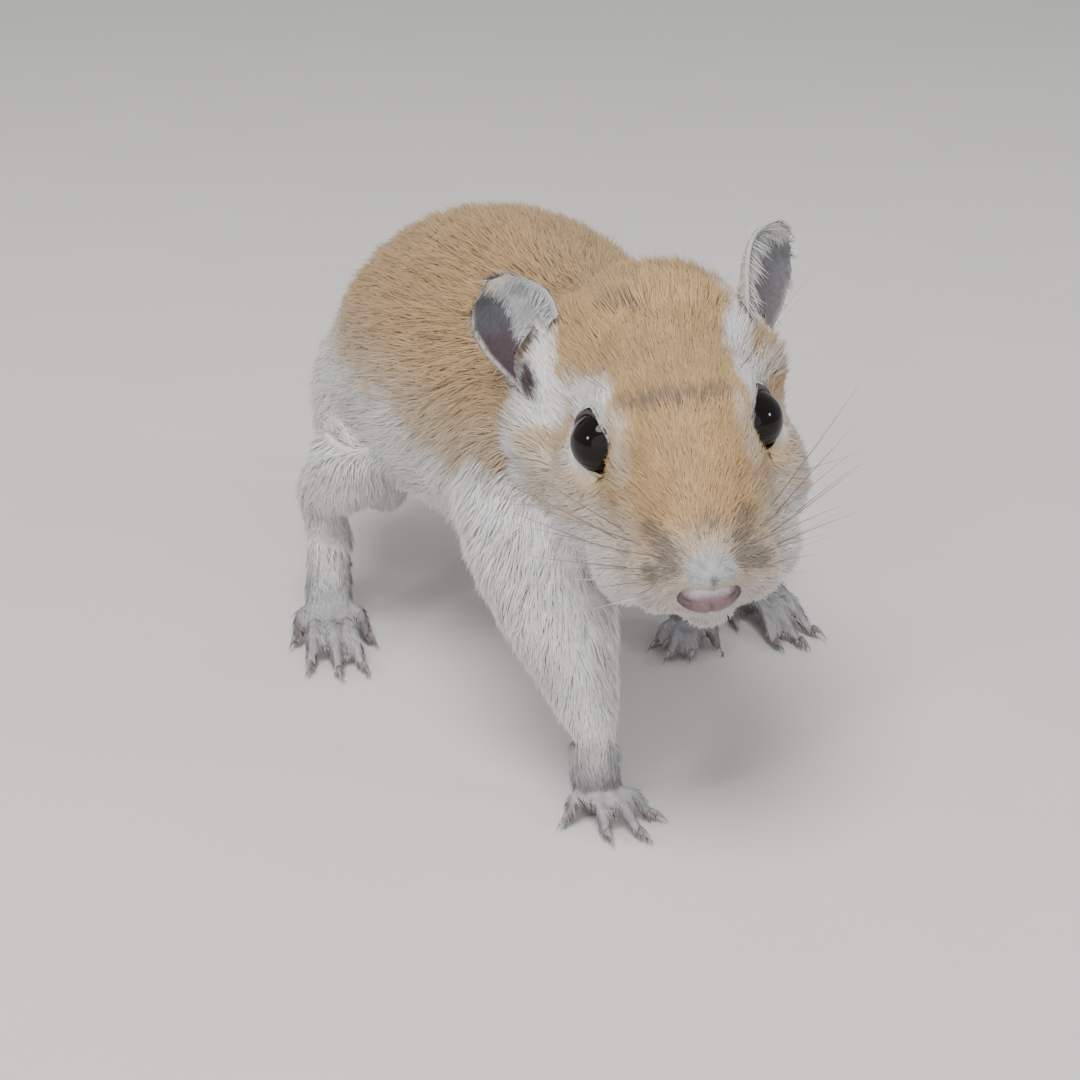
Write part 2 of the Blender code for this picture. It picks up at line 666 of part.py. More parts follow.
def main():
    clear_scene()
    legs = [form for side in (RIGHT, LEFT) for form in haunch_forms(side) + foreleg_forms(side)]
    body = thin_out(sculpt("torso", trunk_forms() + head_forms() + legs, 0.55, 16), 5000)
    head = thin_out(sculpt("head", trunk_forms() + head_forms(), 0.5, 22), 7600)

    coat, white = finish("coat_gold", COAT_GOLD, 0.9), finish("coat_white", COAT_WHITE, 0.9)
    bare, ear_skin = finish("paw_grey", PAW_GREY, 0.75), finish("ear_skin", EAR_GREY, 0.7)
    nodes = [(piece, coat) for piece in tail_lengths(body)]
    jaw = swell(head, "jaw", 1.3 * GAP)
    combine(jaw, [half_space("behind", HEAD_CUT[0], [-c for c in HEAD_CUT[1]])], "DIFFERENCE")
    for side in (RIGHT, LEFT):
        shell = combine(ear(side), [swell(head, "clear", GAP)], "DIFFERENCE")
        nodes.append((thin_out(keep_largest(shell), 560), ear_skin))
    for side in (RIGHT, LEFT):
        name = SIDE_NAMES[side]
        haunch = thin_out(sculpt("region", haunch_forms(side, 1.8), 1.0, 2), 240)
        nodes.append((part_limb(body, f"hindleg_{name}", haunch, HIND_FEET[side].joint, 720), white))
        arm = thin_out(sculpt("region", foreleg_forms(side, 1.5), 0.9, 2), 200)
        combine(arm, [copy_of(jaw, "clear")], "DIFFERENCE")
        nodes.append((part_limb(body, f"foreleg_{name}", arm, FORE_FEET[side].joint, 460), white))
        nodes.append((forepaw(side), bare))
        nodes.append((hindfoot(side), bare))
    remove(jaw)

    neck = copy_of(body, "neck")
    for node, cuts in (
        (body, ((NECK_CUT, 0),)),
        (neck, ((NECK_CUT, -GAP), (HEAD_CUT, 0))),
        (head, ((HEAD_CUT, -GAP),)),
    ):
        for (at, facing), shift in cuts:
            facing = Vector(facing).normalized()
            if shift < 0:
                combine(node, [half_space("behind", Vector(at) - facing * shift, -facing)], "DIFFERENCE")
            else:
                combine(node, [half_space("ahead", at, facing)], "DIFFERENCE")
        nodes.append((keep_largest(node), coat))
    thin_out(neck, 460)

    combine(head, [lid_ring(side) for side in (RIGHT, LEFT)], "UNION")
    combine(head, [eyeball(side, GAP, "socket") for side in (RIGHT, LEFT)], "DIFFERENCE")
    combine(head, mouth_cuts(), "DIFFERENCE")
    keep_largest(head)
    for side in (RIGHT, LEFT):
        nodes.append((eyeball(side), finish("eye_black", EYE_BLACK, 0.05)))

    for node, material in nodes:
        node.data.materials.clear()
        node.data.materials.append(material)
        node.data.shade_smooth()
    stand_at_origin([node for node, _ in nodes])


main()
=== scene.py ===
"""The looks of a young Mongolian gerbil stepping forward: skin, coat, eyes, nose, claws and whiskers.

Sizes are in millimetres in the animal's own design frame, as in the part's source, and ORIGIN turns them to
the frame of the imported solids. The coat is made of tapered blades of mesh, rooted all over the skin, that
follow its lie.
"""

import math
from collections import namedtuple

import bpy
import numpy as np
from mathutils import Matrix, Vector
from mathutils.bvhtree import BVHTree
from mathutils.kdtree import KDTree


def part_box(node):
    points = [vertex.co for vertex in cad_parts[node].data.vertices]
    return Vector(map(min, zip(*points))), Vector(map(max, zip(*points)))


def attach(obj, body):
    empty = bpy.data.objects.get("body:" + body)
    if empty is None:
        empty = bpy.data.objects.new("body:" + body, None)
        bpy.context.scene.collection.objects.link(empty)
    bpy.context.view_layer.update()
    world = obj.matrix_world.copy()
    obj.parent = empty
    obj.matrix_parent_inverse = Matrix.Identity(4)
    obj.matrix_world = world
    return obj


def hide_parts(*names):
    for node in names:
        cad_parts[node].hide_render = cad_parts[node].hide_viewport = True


bl_info = {
    "name": "Gerbil",
    "version": (1, 0, 0),
    "blender": (4, 5, 0),
    "location": "3D View > Sidebar > Gerbil",
    "description": "Dresses the packed solids of a gerbil with skin, fur, eyes, claws and whiskers",
    "category": "Add Mesh",
}

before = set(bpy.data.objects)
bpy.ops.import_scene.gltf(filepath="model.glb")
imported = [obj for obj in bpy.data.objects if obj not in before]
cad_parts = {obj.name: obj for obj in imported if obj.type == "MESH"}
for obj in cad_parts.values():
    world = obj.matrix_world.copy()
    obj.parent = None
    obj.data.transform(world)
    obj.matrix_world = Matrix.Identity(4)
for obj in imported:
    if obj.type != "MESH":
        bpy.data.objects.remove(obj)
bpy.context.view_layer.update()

MM = 0.001
RIGHT, LEFT = -1, 1
SIDE_NAMES = {RIGHT: "right", LEFT: "left"}

# The pose of the head and the places on it, as in the part's source.
HEAD_AT = (1.3, -52.9, 37.9)
HEAD_TURN = math.radians(-11.5)
HEAD_NOD = math.radians(11.5)
HEAD_ROLL = math.radians(-7.5)
EYE_AT = (6.35, 0.1, -0.6)
EYE_LOOK = (0.86, -0.45, 0.24)
EYE_RADIUS = 3.1
EAR_ROOTS = {RIGHT: (-10.9, 6.9, 0.5), LEFT: (8.3, 9.0, 1.4)}
EAR_RISES = {RIGHT: (-0.22, 0.74, 0.64), LEFT: (0.32, 0.71, 0.62)}
EAR_OPENINGS = {RIGHT: (-0.10, -0.77, 0.65), LEFT: (0.80, -0.55, 0.23)}
EAR_LENGTH = 12.5
NOSE_AT = (-0.2, -16.9, -6.6)
NOSE_RADII = (2.75, 1.6, 1.6)

# White places on the face, as lines with a half width, given on the left side of the head's own frame.
WHITE_LINES = (
    (((8.5, 0.0, 1.5), (8.6, 0.1, 1.4)), 4.2),
    (((8.0, 3.6, 2.0), (10.6, 6.2, 0.8)), 1.8),
    (((9.8, 2.4, 0.0), (11.0, 4.2, -0.4)), 1.7),
    (((10.8, 7.6, 2.4), (9.5, 10.8, 5.2)), 1.3),
    (((13.0, 6.6, 0.5), (13.2, 6.9, 0.2)), 1.4),
    (((14.6, 6.6, -0.6), (14.5, 5.2, -4.5), (15.0, 4.6, -9.0)), 1.8),
)
LEFT_EAR_BAND = (((7.4, 11.0, 4.8), (7.3, 5.0, 3.5)), 1.7)
PALE_BEFORE_EYE = (((5.9, -4.4, 2.6), (5.8, -7.6, 0.2)), 1.3)
# Where dark tips gather, and the dark line of painted shade that runs down the head from the right ear's cup,
# in its groove.
PAD_SMUDGE = ((3.9, -13.2, -2.0), (2.8, -15.2, -3.1), (2.8, -16.0, -4.1), (4.3, -15.3, -5.0))
BROW_SMUDGE = ((-4.6, -3.6, 4.4), (-2.4, -4.3, 4.7), (-0.2, -4.6, 5.0), (1.8, -4.4, 4.9), (4.2, -4.0, 4.3))
CROWN_SMUDGE = ((-5.0, 9.8, 7.5), (-3.3, 8.7, 7.9), (-1.6, 7.8, 7.6))
BRIDGE_SMUDGE_AT = (0.6, -14.2, -1.5)
EAR_LINE = ((-12.7, 9.6, 2.6), (-12.4, 7.4, 1.6), (-11.2, 5.2, 0.2))
EAR_LINE_WAY = (-1.1, 3.6, 2.2)
LIP_LINE = ((-4.0, -15.6, -8.8), (0, -15.2, -10.6), (4.0, -15.6, -8.8))
FROST_AT = (0.1, -16.9, -4.2)
FROST_RADII = (2.1, 1.5, 1.1)
# The hair of the face runs back from a place in front of the nose.
FACE_PARTING = (0, -18.5, -3.5)

# Profiles, as pairs of a place along and the value there.
# The height where gold meets white: along the body, and along the jaw with how softly it changes there.
BODY_EDGE = (
    (-45, 31.0), (-38, 30.2), (-28, 28.8), (-18, 29.4), (-5, 30.6), (5, 30.6), (15, 28.0), (26, 22.5),
)
JAW_EDGE = (
    (-17, -8.2), (-15, -8.3), (-12, -8.2), (-10.5, -6.9), (-9, -5.6),
    (-4, -6.6), (0, -8.2), (4, -9.0), (10, -9.0),
)
JAW_BLUR = ((-12, 1.9), (-4, 1.1))
# From the ear's root to its tip: how far across it the silver hairs reach, and half its width.
EAR_SILVER = ((-0.5, 0.2), (1.5, 0.7), (4.0, 0.5), (6.0, 0.4), (8.0, 0.1), (10.0, 0.1), (12.0, 0.6))
EAR_HALF_WIDTHS = ((0, 1.5), (3, 2.6), (6, 3.7), (9, 4.15), (11.5, 3.2), (12.5, 1.0))
# From a blade's root to its tip: how light its colour is. Its darker root is partly the greyer underfur and
# partly painted shade deep in the coat.
BLADE_UNDERFUR_AND_SHADE = ((0, 0.88), (0.36, 0.97), (1, 1.05))

# Colours of small places, as linear light.
WARM_TINT = (0.97, 0.94, 0.92)
FOOT_GREY = (0.47, 0.455, 0.47)
TOE_TINT = (1.0, 1.25, 1.25)
TUFT_BROWN = (0.085, 0.062, 0.048)
LIP_PINK = (0.66, 0.585, 0.575)
MUZZLE_SHADE = (0.51, 0.44, 0.40)
FROST_GREY = (0.44, 0.44, 0.46)
EAR_RIM = (0.60, 0.55, 0.50)
NOSE_TOP = (0.40, 0.385, 0.40)
# Painted shade in the nostrils and the cleft of the nose pad.
NOSTRIL_SHADE = (0.04, 0.02, 0.022)
LID_PALE = (0.12, 0.085, 0.08)
EYE_DARK, EYE_BROWN = (0.002, 0.0015, 0.0015), (0.008, 0.004, 0.003)
HORN_DARK, HORN_PALE = (0.20, 0.15, 0.14), (0.42, 0.36, 0.33)
WHISKER_DARK, WHISKER_PALE, WHISKER_TIP = (0.13, 0.10, 0.085), (0.62, 0.58, 0.53), (0.40, 0.35, 0.30)

Foot = namedtuple("Foot", "ball turn spread")
FORE_FEET = {
    RIGHT: Foot((-5.7, -53.4), math.radians(2), 1.0),
    LEFT: Foot((16.4, -19.2), math.radians(-30), 0.6),
}
HIND_FEET = {
    RIGHT: Foot((-21.8, -7.6), math.radians(-9), 1.0),
    LEFT: Foot((26.0, -15.0), math.radians(10), 0.9),
}
# Each toe from the outer side of the foot: across it, splay in degrees, length, and how far back it starts.
FINGERS = ((-1.9, -50, 2.6, 0.3), (-0.75, -4, 5.0, -0.5), (0.7, 13, 5.8, -0.6), (1.9, 37, 4.0, 0.0))
TOES = (
    (-2.6, -24, 3.4, 2.0),
    (-1.6, -8, 8.0, -0.2),
    (-0.1, 3, 9.3, -0.6),
    (1.3, 12, 9.0, -0.3),
    (2.5, 24, 4.4, 2.2),
)
FINGER_RADIUS, TOE_RADIUS = 0.8, 0.88
FINGER_CLAW, TOE_CLAW = 2.1, 2.4
CLAW_RADIUS = 0.42
TAIL_ROUTE = np.array([
    (0.4, 23.0, 22.0), (0.6, 29.0, 17.6), (0.6, 35.0, 11.2), (0.9, 42.0, 5.4),
    (1.8, 50.0, 2.5), (4.0, 60.0, 2.1), (8.0, 70.0, 2.0), (13.6, 80.0, 2.0),
    (20.4, 89.0, 2.0), (28.0, 96.6, 1.8), (34.6, 101.6, 1.5),
])

# The whiskers of each pad stand in rows and columns. Single feelers have a root, a way and a length.
WHISKER_ROWS, WHISKER_COLUMNS = 4, 3
WHISKER_RADIUS, FEELER_RADIUS = 0.07, 0.035
WHISKER_STEPS = 12
FEELERS = (
    ((6.0, -0.3, 5.0), (0.7, 0.2, 0.75), 13),
    ((6.6, 1.2, 4.6), (1.0, 0.5, 0.7), 9),
    ((10.6, -2.0, -5.5), (1.0, 0.5, -0.1), 8),
)

# The camera that took the photograph, found from the eyes, ears and feet.
CAMERA_AT = (-64.6, -226.9, 101.9)
CAMERA_AZIMUTH = math.radians(-17)
CAMERA_DOWN = math.radians(22)
CAMERA_LENS = 73.3
CAMERA_SENSOR = 36
LIGHTS_AIM = (0, -30, 25)
SKY_COLOUR = (0.93, 0.96, 1.0)

FLESH = [
    "torso", "neck", "head",
    "foreleg_right", "foreleg_left", "forepaw_right", "forepaw_left",
    "hindleg_right", "hindleg_left", "hindfoot_right", "hindfoot_left",
    "tail_base", "tail_middle", "tail_tip",
]
EARS = {RIGHT: "ear_right", LEFT: "ear_left"}
NODES = FLESH + list(EARS.values())
FEET = ("forepaw", "hindfoot")
UV_MAP = "OFBake"
COAT = "coat"

# How the fur grows on each part: blades to a square millimetre, length, width, and depth of the coat.
Growth = namedtuple("Growth", "density length width depth")
GROWTHS = {
    "torso": Growth(15.5, 5.4, 0.165, 1.5),
    "neck": Growth(18.0, 4.6, 0.155, 1.4),
    "head": Growth(32.0, 2.9, 0.115, 0.8),
    "foreleg": Growth(20.0, 3.1, 0.13, 0.75),
    "forepaw": Growth(26.0, 1.2, 0.10, 0.2),
    "hindleg": Growth(19.0, 3.2, 0.14, 0.85),
    "hindfoot": Growth(24.0, 1.4, 0.11, 0.25),
    "tail": Growth(20.0, 2.3, 0.135, 0.5),
    "ear": Growth(26.0, 1.1, 0.085, 0.1),
}
EAR_HAIRS = Growth(26.0, 2.5, 0.10, 0.3)
EAR_DOWN = Growth(14.0, 1.3, 0.065, 0.15)
# The way the hair runs on each part but the head and tail.
LIES = {
    "torso": (0.0, 1.0, -0.38), "neck": (0.0, 1.0, -0.5), "foreleg": (0.0, -0.1, -1.0),
    "forepaw": (0.0, -0.8, -0.7), "hindfoot": (0.0, -0.9, -0.6),
}
CHEST_LIE = (0.0, 0.7, -0.7)
# On the hind legs it turns from the first to the second.
SHANK_LIE, HAUNCH_LIE = (0.0, 0.15, -1.0), (0.0, 0.6, -0.8)
# Where the hair would stand on end it runs down and back instead.
FALL = (0.0, 0.5, -0.85)
# The pieces of the coat, and the kinds of node that each one grows on.
COAT_GROUPS = {
    "face": ("head",), "neck": ("neck",), "body": ("torso",), "forelegs": ("foreleg", "forepaw"),
    "hindlegs": ("hindleg", "hindfoot"), "tail": ("tail",), "ears": ("ear",),
}
# A lock of hair gathers about this many blades, and its tips lean together by this share.
LOCK_BLADES = 13
LOCK_LEAN = 0.4
MOST_BLADES = 32000  # in one piece, at six triangles each
BLADE_PATCH = 0.0028  # side of a blade's patch on the UV map
# A blade is widest at this height, and stands with its root a little way into the skin.
BLADE_WAIST = 0.36
ROOT_DEPTH = 0.15
# A share of long, thin guard hairs stands out of the coat.
GUARD_SHARE = 0.05
GUARD_REACH = 1.25


def colour_property(name, description, default):
    """A colour on the panel, as linear light."""
    return bpy.props.FloatVectorProperty(
        name=name, description=description, default=default, size=3, subtype="COLOR"
    )


def power_property(name, description, default):
    """The power of a light on the panel."""
    return bpy.props.FloatProperty(name=name, description=description, default=default, unit="POWER")


class CoatSettings(bpy.types.PropertyGroup):
    """Colours of the fur."""

    gold: colour_property("Gold", "Back, crown and muzzle", (0.505, 0.327, 0.158))
    white: colour_property("White", "Belly, legs, throat and lips", (0.77, 0.755, 0.735))
    smudge: colour_property("Smudge", "Dark tips on brow and pads", (0.17, 0.135, 0.11))
    silver: colour_property("Silver", "Hairs inside the ears", (0.70, 0.71, 0.74))
    seed: bpy.props.IntProperty(name="Seed", description="Draws the same coat each time", default=11)


class SkinSettings(bpy.types.PropertyGroup):
    """Colours and fineness of the bare skin."""

    voxel: bpy.props.FloatProperty(
        name="Voxel", description="Grain of the fused skin", default=0.32 * MM, unit="LENGTH", precision=5
    )
    triangles: bpy.props.IntProperty(name="Triangles", description="Of the fused skin", default=150000)
    mauve: colour_property("Mauve", "Nose pad and toes", (0.195, 0.118, 0.126))
    ear_grey: colour_property("Ear grey", "Inside of the ears", (0.095, 0.092, 0.105))
    # Painted shade deep in the ears' cups and in the groove below the right ear.
    ear_depth_shade: colour_property("Ear dark", "Depth of the ears", (0.075, 0.05, 0.06))
    lid: colour_property("Lid", "Rims of the lids", (0.05, 0.036, 0.036))


class StageSettings(bpy.types.PropertyGroup):
    """Floor and light."""

    floor: colour_property("Floor", "Colour of the floor", (0.74, 0.72, 0.69))
    floor_size: bpy.props.FloatProperty(
        name="Floor size", description="Side of the floor", default=4.0, unit="LENGTH"
    )
    world: bpy.props.FloatProperty(name="Sky", description="Strength of the even light", default=0.5)
    key: power_property("Key", "Power of the soft light above", 4.3)
    front: power_property("Front", "Power of the broad front light", 2.6)
    glint: power_property("Glint", "Power of each side light", 0.7)


def head_pose():
    """The head's own frame in the design frame: -Y forward, +Z up, +X left, midway between the eyes."""
    turn = Matrix.Rotation(HEAD_TURN, 4, "Z")
    nod = Matrix.Rotation(HEAD_NOD, 4, "X")
    roll = Matrix.Rotation(HEAD_ROLL, 4, "Y")
    return Matrix.Translation(Vector(HEAD_AT)) @ turn @ nod @ roll


def find_origin():
    """The design frame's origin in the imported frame, from where the right eye is."""
    low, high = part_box("eye_right")
    eye = head_pose() @ Vector((-EYE_AT[0], EYE_AT[1], EYE_AT[2]))
    return (low + high) / 2 - eye * MM


HEAD_ROTATION = np.array(head_pose().to_3x3())
ORIGIN = find_origin()


def place(point):
    """A point of the design frame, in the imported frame."""
    return ORIGIN + Vector(point) * MM


def along_head(direction):
    return (head_pose().to_3x3() @ Vector(direction)).normalized()


def design_points(points):
    """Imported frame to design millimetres, as arrays."""
    return (points - np.array(ORIGIN)) / MM


def head_points(design):
    """Design millimetres to the head's frame, as arrays."""
    return (design - np.array(HEAD_AT)) @ HEAD_ROTATION


def packed_points(head):
    """The head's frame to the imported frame, as arrays."""
    return (head @ HEAD_ROTATION.T + np.array(HEAD_AT)) * MM + np.array(ORIGIN)


def smoothstep(low, high, value):
    share = np.clip((value - low) / (high - low), 0, 1)
    return share * share * (3 - 2 * share)


def unit(vectors):
    return vectors / np.maximum(np.linalg.norm(vectors, axis=-1, keepdims=True), 1e-9)


def flattened(vectors, normals):
    """What is left of each vector along the surface."""
    return vectors - normals * (vectors * normals).sum(axis=1, keepdims=True)


def mix(a, b, share):
    """Rows of colours between a and b, by a share for each row."""
    return a + (np.asarray(b) - a) * np.asarray(share)[..., None]


def distance(points, spot):
    return np.linalg.norm(points - np.array(spot), axis=1)


def profile(values, pairs):
    """Reads values off the straight lines between pairs of a place and the value there."""
    return np.interp(values, *zip(*pairs))


def wave_noise(points, scale, seed):
    """A soft pattern from -1 to 1 that varies over about scale millimetres."""
    rng = np.random.default_rng(seed)
    total = np.zeros(len(points))
    for _ in range(6):
        direction = rng.normal(size=3)
        direction /= np.linalg.norm(direction)
        wave = points @ direction * (2 * math.pi / scale) * rng.uniform(0.6, 1.5)
        total += np.sin(wave + rng.uniform(0, 6.28))
    return total / 3.4


def deselect():
    bpy.ops.object.select_all(action="DESELECT")


def select(obj):
    deselect()
    obj.select_set(True)
    bpy.context.view_layer.objects.active = obj


def enter_edit(obj):
    """Edit mode with all of the piece selected."""
    select(obj)
    bpy.ops.object.mode_set(mode="EDIT")
    bpy.ops.mesh.select_all(action="SELECT")


def leave_edit():
    bpy.ops.object.mode_set(mode="OBJECT")


def apply_modifiers(obj):
    select(obj)
    for modifier in list(obj.modifiers):
        bpy.ops.object.modifier_apply(modifier=modifier.name)


def take_primitive(name):
    """The primitive that was just added, named, with its place put into its mesh."""
    obj = bpy.context.view_layer.objects.active
    obj.name = name
    obj.data.name = name
    bpy.ops.object.transform_apply(location=True, rotation=True, scale=True)
    return obj


def add_object(name, data):
    """A new object in the scene for a mesh, a light or a camera."""
    obj = bpy.data.objects.new(name, data)
    bpy.context.scene.collection.objects.link(obj)
    return obj


def merged_copy(node, name):
    """A copy of a CAD node's mesh whose loose triangles are joined at their corners."""
    twin = add_object(name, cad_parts[node].data.copy())
    enter_edit(twin)
    bpy.ops.mesh.remove_doubles(threshold=1e-6)
    leave_edit()
    return twin


def join(pieces, name):
    """Joins the pieces into the first one and names it."""
    select(pieces[0])
    for piece in pieces:
        piece.select_set(True)
    bpy.ops.object.join()
    pieces[0].name = name
    pieces[0].data.name = name
    return pieces[0]


def cut_across(obj, heights):
    """Cuts a piece that stands along Z straight across at each height."""
    enter_edit(obj)
    for height in heights:
        bpy.ops.mesh.select_all(action="SELECT")
        bpy.ops.mesh.bisect(plane_co=(0, 0, height), plane_no=(0, 0, 1))
    leave_edit()


def vertex_array(mesh):
    points = np.empty(len(mesh.vertices) * 3, np.float32)
    mesh.vertices.foreach_get("co", points)
    return points.reshape(-1, 3).astype(np.float64)


def set_vertices(mesh, points):
    mesh.vertices.foreach_set("co", points.astype(np.float32).ravel())
    mesh.update()


def normal_array(mesh):
    normals = np.empty(len(mesh.vertices) * 3, np.float32)
    mesh.vertex_normals.foreach_get("vector", normals)
    return normals.reshape(-1, 3).astype(np.float64)


def store_colours(mesh, colours):
    """Keeps a colour for each vertex, which the materials read."""
    attribute = mesh.color_attributes.new(COAT, "FLOAT_COLOR", "POINT")
    rows = np.ones((len(colours), 4), np.float32)
    rows[:, :3] = colours
    attribute.data.foreach_set("color", rows.ravel())


def finish_piece(obj, slot, *nodes):
    """What every piece of the animal is told: its body and the nodes it stands for, which are hidden. Its
    slot for a finish is not used.
    """
    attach(obj, "root")
    if nodes:
        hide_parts(*nodes)


class Shader:
    """A Principled material under construction."""

    def __init__(self, name, roughness, **constants):
        self.material = bpy.data.materials.new(name)
        self.material.use_nodes = True
        self.tree = self.material.node_tree
        self.principled = self.tree.nodes["Principled BSDF"]
        self.principled.inputs["Roughness"].default_value = roughness
        for socket, value in constants.items():
            self.principled.inputs[socket.replace("_", " ")].default_value = value
        self.coordinates = self.tree.nodes.new("ShaderNodeTexCoord").outputs["Object"]

    def node(self, kind, **values):
        """A node with values set on its input sockets."""
        node = self.tree.nodes.new(kind)
        for socket, value in values.items():
            node.inputs[socket.replace("_", " ")].default_value = value
        return node

    def link(self, source, target):
        self.tree.links.new(source, target)

    def noise(self, scale, detail):
        node = self.node("ShaderNodeTexNoise", Scale=scale, Detail=detail)
        self.link(self.coordinates, node.inputs["Vector"])
        return node.outputs["Fac"]

    def attribute(self, name):
        node = self.tree.nodes.new("ShaderNodeAttribute")
        node.attribute_name = name
        return node.outputs["Color"]

    def remap(self, source, low, high, to_low, to_high):
        node = self.node("ShaderNodeMapRange", From_Min=low, From_Max=high, To_Min=to_low, To_Max=to_high)
        self.link(source, node.inputs["Value"])
        return node.outputs["Result"]

    def blend(self, first, second, factor):
        """Mixes two colours by a socket that varies over the surface."""
        node = self.tree.nodes.new("ShaderNodeMix")
        node.data_type = "RGBA"
        self.link(factor, node.inputs[0])
        node.inputs[6].default_value = (*first, 1)
        node.inputs[7].default_value = (*second, 1)
        return node.outputs[2]

    def shade(self, colour, factor):
        """Scales a colour by a number that varies over the surface."""
        node = self.tree.nodes.new("ShaderNodeVectorMath")
        node.operation = "SCALE"
        self.link(colour, node.inputs[0])
        self.link(factor, node.inputs["Scale"])
        return node.outputs["Vector"]

    def bump(self, height, strength, depth):
        node = self.node("ShaderNodeBump", Strength=strength, Distance=depth)
        self.link(height, node.inputs["Height"])
        self.link(node.outputs["Normal"], self.principled.inputs["Normal"])

    def colour(self, source):
        self.link(source, self.principled.inputs["Base Color"])


def fur_material():
    """Hair: colour from each blade, a little lighter and darker in patches, soft and barely glossy."""
    shader = Shader("fur", 0.62, Sheen_Weight=0.12, Sheen_Roughness=0.5, Specular_IOR_Level=0.32)
    variation = shader.remap(shader.noise(260, 3), 0.3, 0.7, 0.93, 1.07)
    shader.colour(shader.shade(shader.attribute(COAT), variation))
    return shader.material


def skin_material():
    """Skin under the coat, with the coat's own markings, and fine short down as bump."""
    shader = Shader("skin", 0.72, Specular_IOR_Level=0.25)
    grain = shader.noise(2600, 4)
    shader.colour(shader.shade(shader.attribute(COAT), shader.remap(grain, 0.3, 0.7, 0.86, 1.06)))
    shader.bump(grain, 0.5, 0.12 * MM)
    return shader.material


class Skin:
    """The fused skin as arrays, which the coat is grown from."""

    def __init__(self, obj, parts):
        mesh = obj.data
        mesh.calc_loop_triangles()
        self.points = vertex_array(mesh)
        self.normals = normal_array(mesh)
        self.parts = parts
        count = len(mesh.loop_triangles)
        corners = np.empty(count * 3, np.int32)
        mesh.loop_triangles.foreach_get("vertices", corners)
        self.faces = corners.reshape(-1, 3)
        loops = np.empty(count * 3, np.int32)
        mesh.loop_triangles.foreach_get("loops", loops)
        uv = np.empty(len(mesh.loops) * 2, np.float32)
        mesh.uv_layers[UV_MAP].data.foreach_get("uv", uv)
        self.uv = uv.reshape(-1, 2)[loops.reshape(-1, 3)]


def edge_pairs(mesh):
    pairs = np.empty(len(mesh.edges) * 2, np.int32)
    mesh.edges.foreach_get("vertices", pairs)
    return pairs.reshape(-1, 2)


def soften(values, pairs, rounds):
    """Averages a value at each vertex with its neighbours' along the edges."""
    values = np.array(values, float)
    flat = values.reshape(len(values), -1)
    count = np.bincount(pairs.ravel(), minlength=len(values)).astype(float)
    for _ in range(rounds):
        total = np.empty_like(flat)
        for column in range(flat.shape[1]):
            total[:, column] = np.bincount(pairs[:, 0], flat[pairs[:, 1], column], len(values))
            total[:, column] += np.bincount(pairs[:, 1], flat[pairs[:, 0], column], len(values))
        flat = (flat + total / np.maximum(count, 1)[:, None]) / 2
    return flat.reshape(values.shape)


def nearest_flesh(points):
    """For each point, which of the flesh nodes is nearest."""
    vertices, faces, owners = [], [], []
    for index, name in enumerate(FLESH):
        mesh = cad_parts[name].data
        mesh.calc_loop_triangles()
        start = len(vertices)
        vertices.extend(v.co.copy() for v in mesh.vertices)
        faces.extend(tuple(start + i for i in t.vertices) for t in mesh.loop_triangles)
        owners.extend([index] * len(mesh.loop_triangles))
    tree = BVHTree.FromPolygons(vertices, faces)
    return np.array([owners[tree.find_nearest(p)[2]] for p in points.tolist()])


def kinds_of(parts):
    """The kind of node, such as head or tail, that each point lies on."""
    return np.array([name.split("_")[0] for name in NODES])[parts]


def on_face_or_neck(kinds):
    return np.isin(kinds, ("head", "neck"))


def eye_opening():
    """The middle of the left eye's opening, in the head's frame."""
    look = np.array(EYE_LOOK) / np.linalg.norm(EYE_LOOK)
    return np.array(EYE_AT) + look * EYE_RADIUS * 0.7


def mirrored(head):
    """Points of the head, with those on the right laid over the left."""
    return np.abs(head * np.array((1, 0, 0))) + head * np.array((0, 1, 1))


def eye_distance(head):
    """How far each point of the head is from the middle of the nearer eye's opening."""
    return distance(mirrored(head), eye_opening())


def line_distance(points, line):
    """How far each point is from a line through the given places."""
    nearest = np.full(len(points), 1e9)
    for start, end in zip(np.array(line[:-1]), np.array(line[1:])):
        span = end - start
        share = np.clip((points - start) @ span / (span @ span), 0, 1)
        nearest = np.minimum(nearest, np.linalg.norm(points - start - share[:, None] * span, axis=1))
    return nearest


def growth_fields(points, parts):
    """Density, length, width and depth of the coat at each point of the skin."""
    design = design_points(points)
    head = head_points(design)
    kinds = kinds_of(parts)
    fields = np.array([GROWTHS[kind] for kind in kinds], float)

    def change(share, density=0.0, length=0.0, width=0.0, depth=0.0):
        """Adds these parts of the fields to them, as far as the share goes."""
        fields[:] *= 1 + share[:, None] * np.array((density, length, width, depth))

    on_head = kinds == "head"
    change(smoothstep(4, -14, head[:, 1]) * on_head, 0.15, -0.45, -0.12, -0.45)
    change(smoothstep(5.0, 2.6, distance(head, NOSE_AT)) * on_head, 0.25, -0.5, -0.2, -0.8)
    change(smoothstep(6.2, 3.6, eye_distance(head)) * on_head, 0.25, -0.62, -0.2, -0.8)
    change(smoothstep(3.4, 1.5, line_distance(head, EAR_LINE)) * on_face_or_neck(kinds), length=-0.55)
    change(smoothstep(2.6, 1.6, distance(head, FROST_AT)) * on_head, length=-0.5)
    crown = smoothstep(6, 12, head[:, 1]) * smoothstep(3, 6, head[:, 2]) * on_head
    change(crown, length=0.5, depth=0.35)

    shanks = smoothstep(15, 9, design[:, 2]) * np.isin(kinds, ("foreleg", "hindleg"))
    change(shanks, 0.3, -0.45, -0.2, -0.5)
    ankles = smoothstep(3.0, 9.0, design[:, 2]) * np.isin(kinds, FEET)
    change(ankles, length=0.9, width=0.25, depth=1.5)
    change(smoothstep(24, 14, design[:, 2]) * (kinds == "torso"), depth=-0.15)
    change(smoothstep(18, 33, design[:, 0]) * (kinds == "tail"), length=2.2, width=0.4, depth=1.2)
    return fields


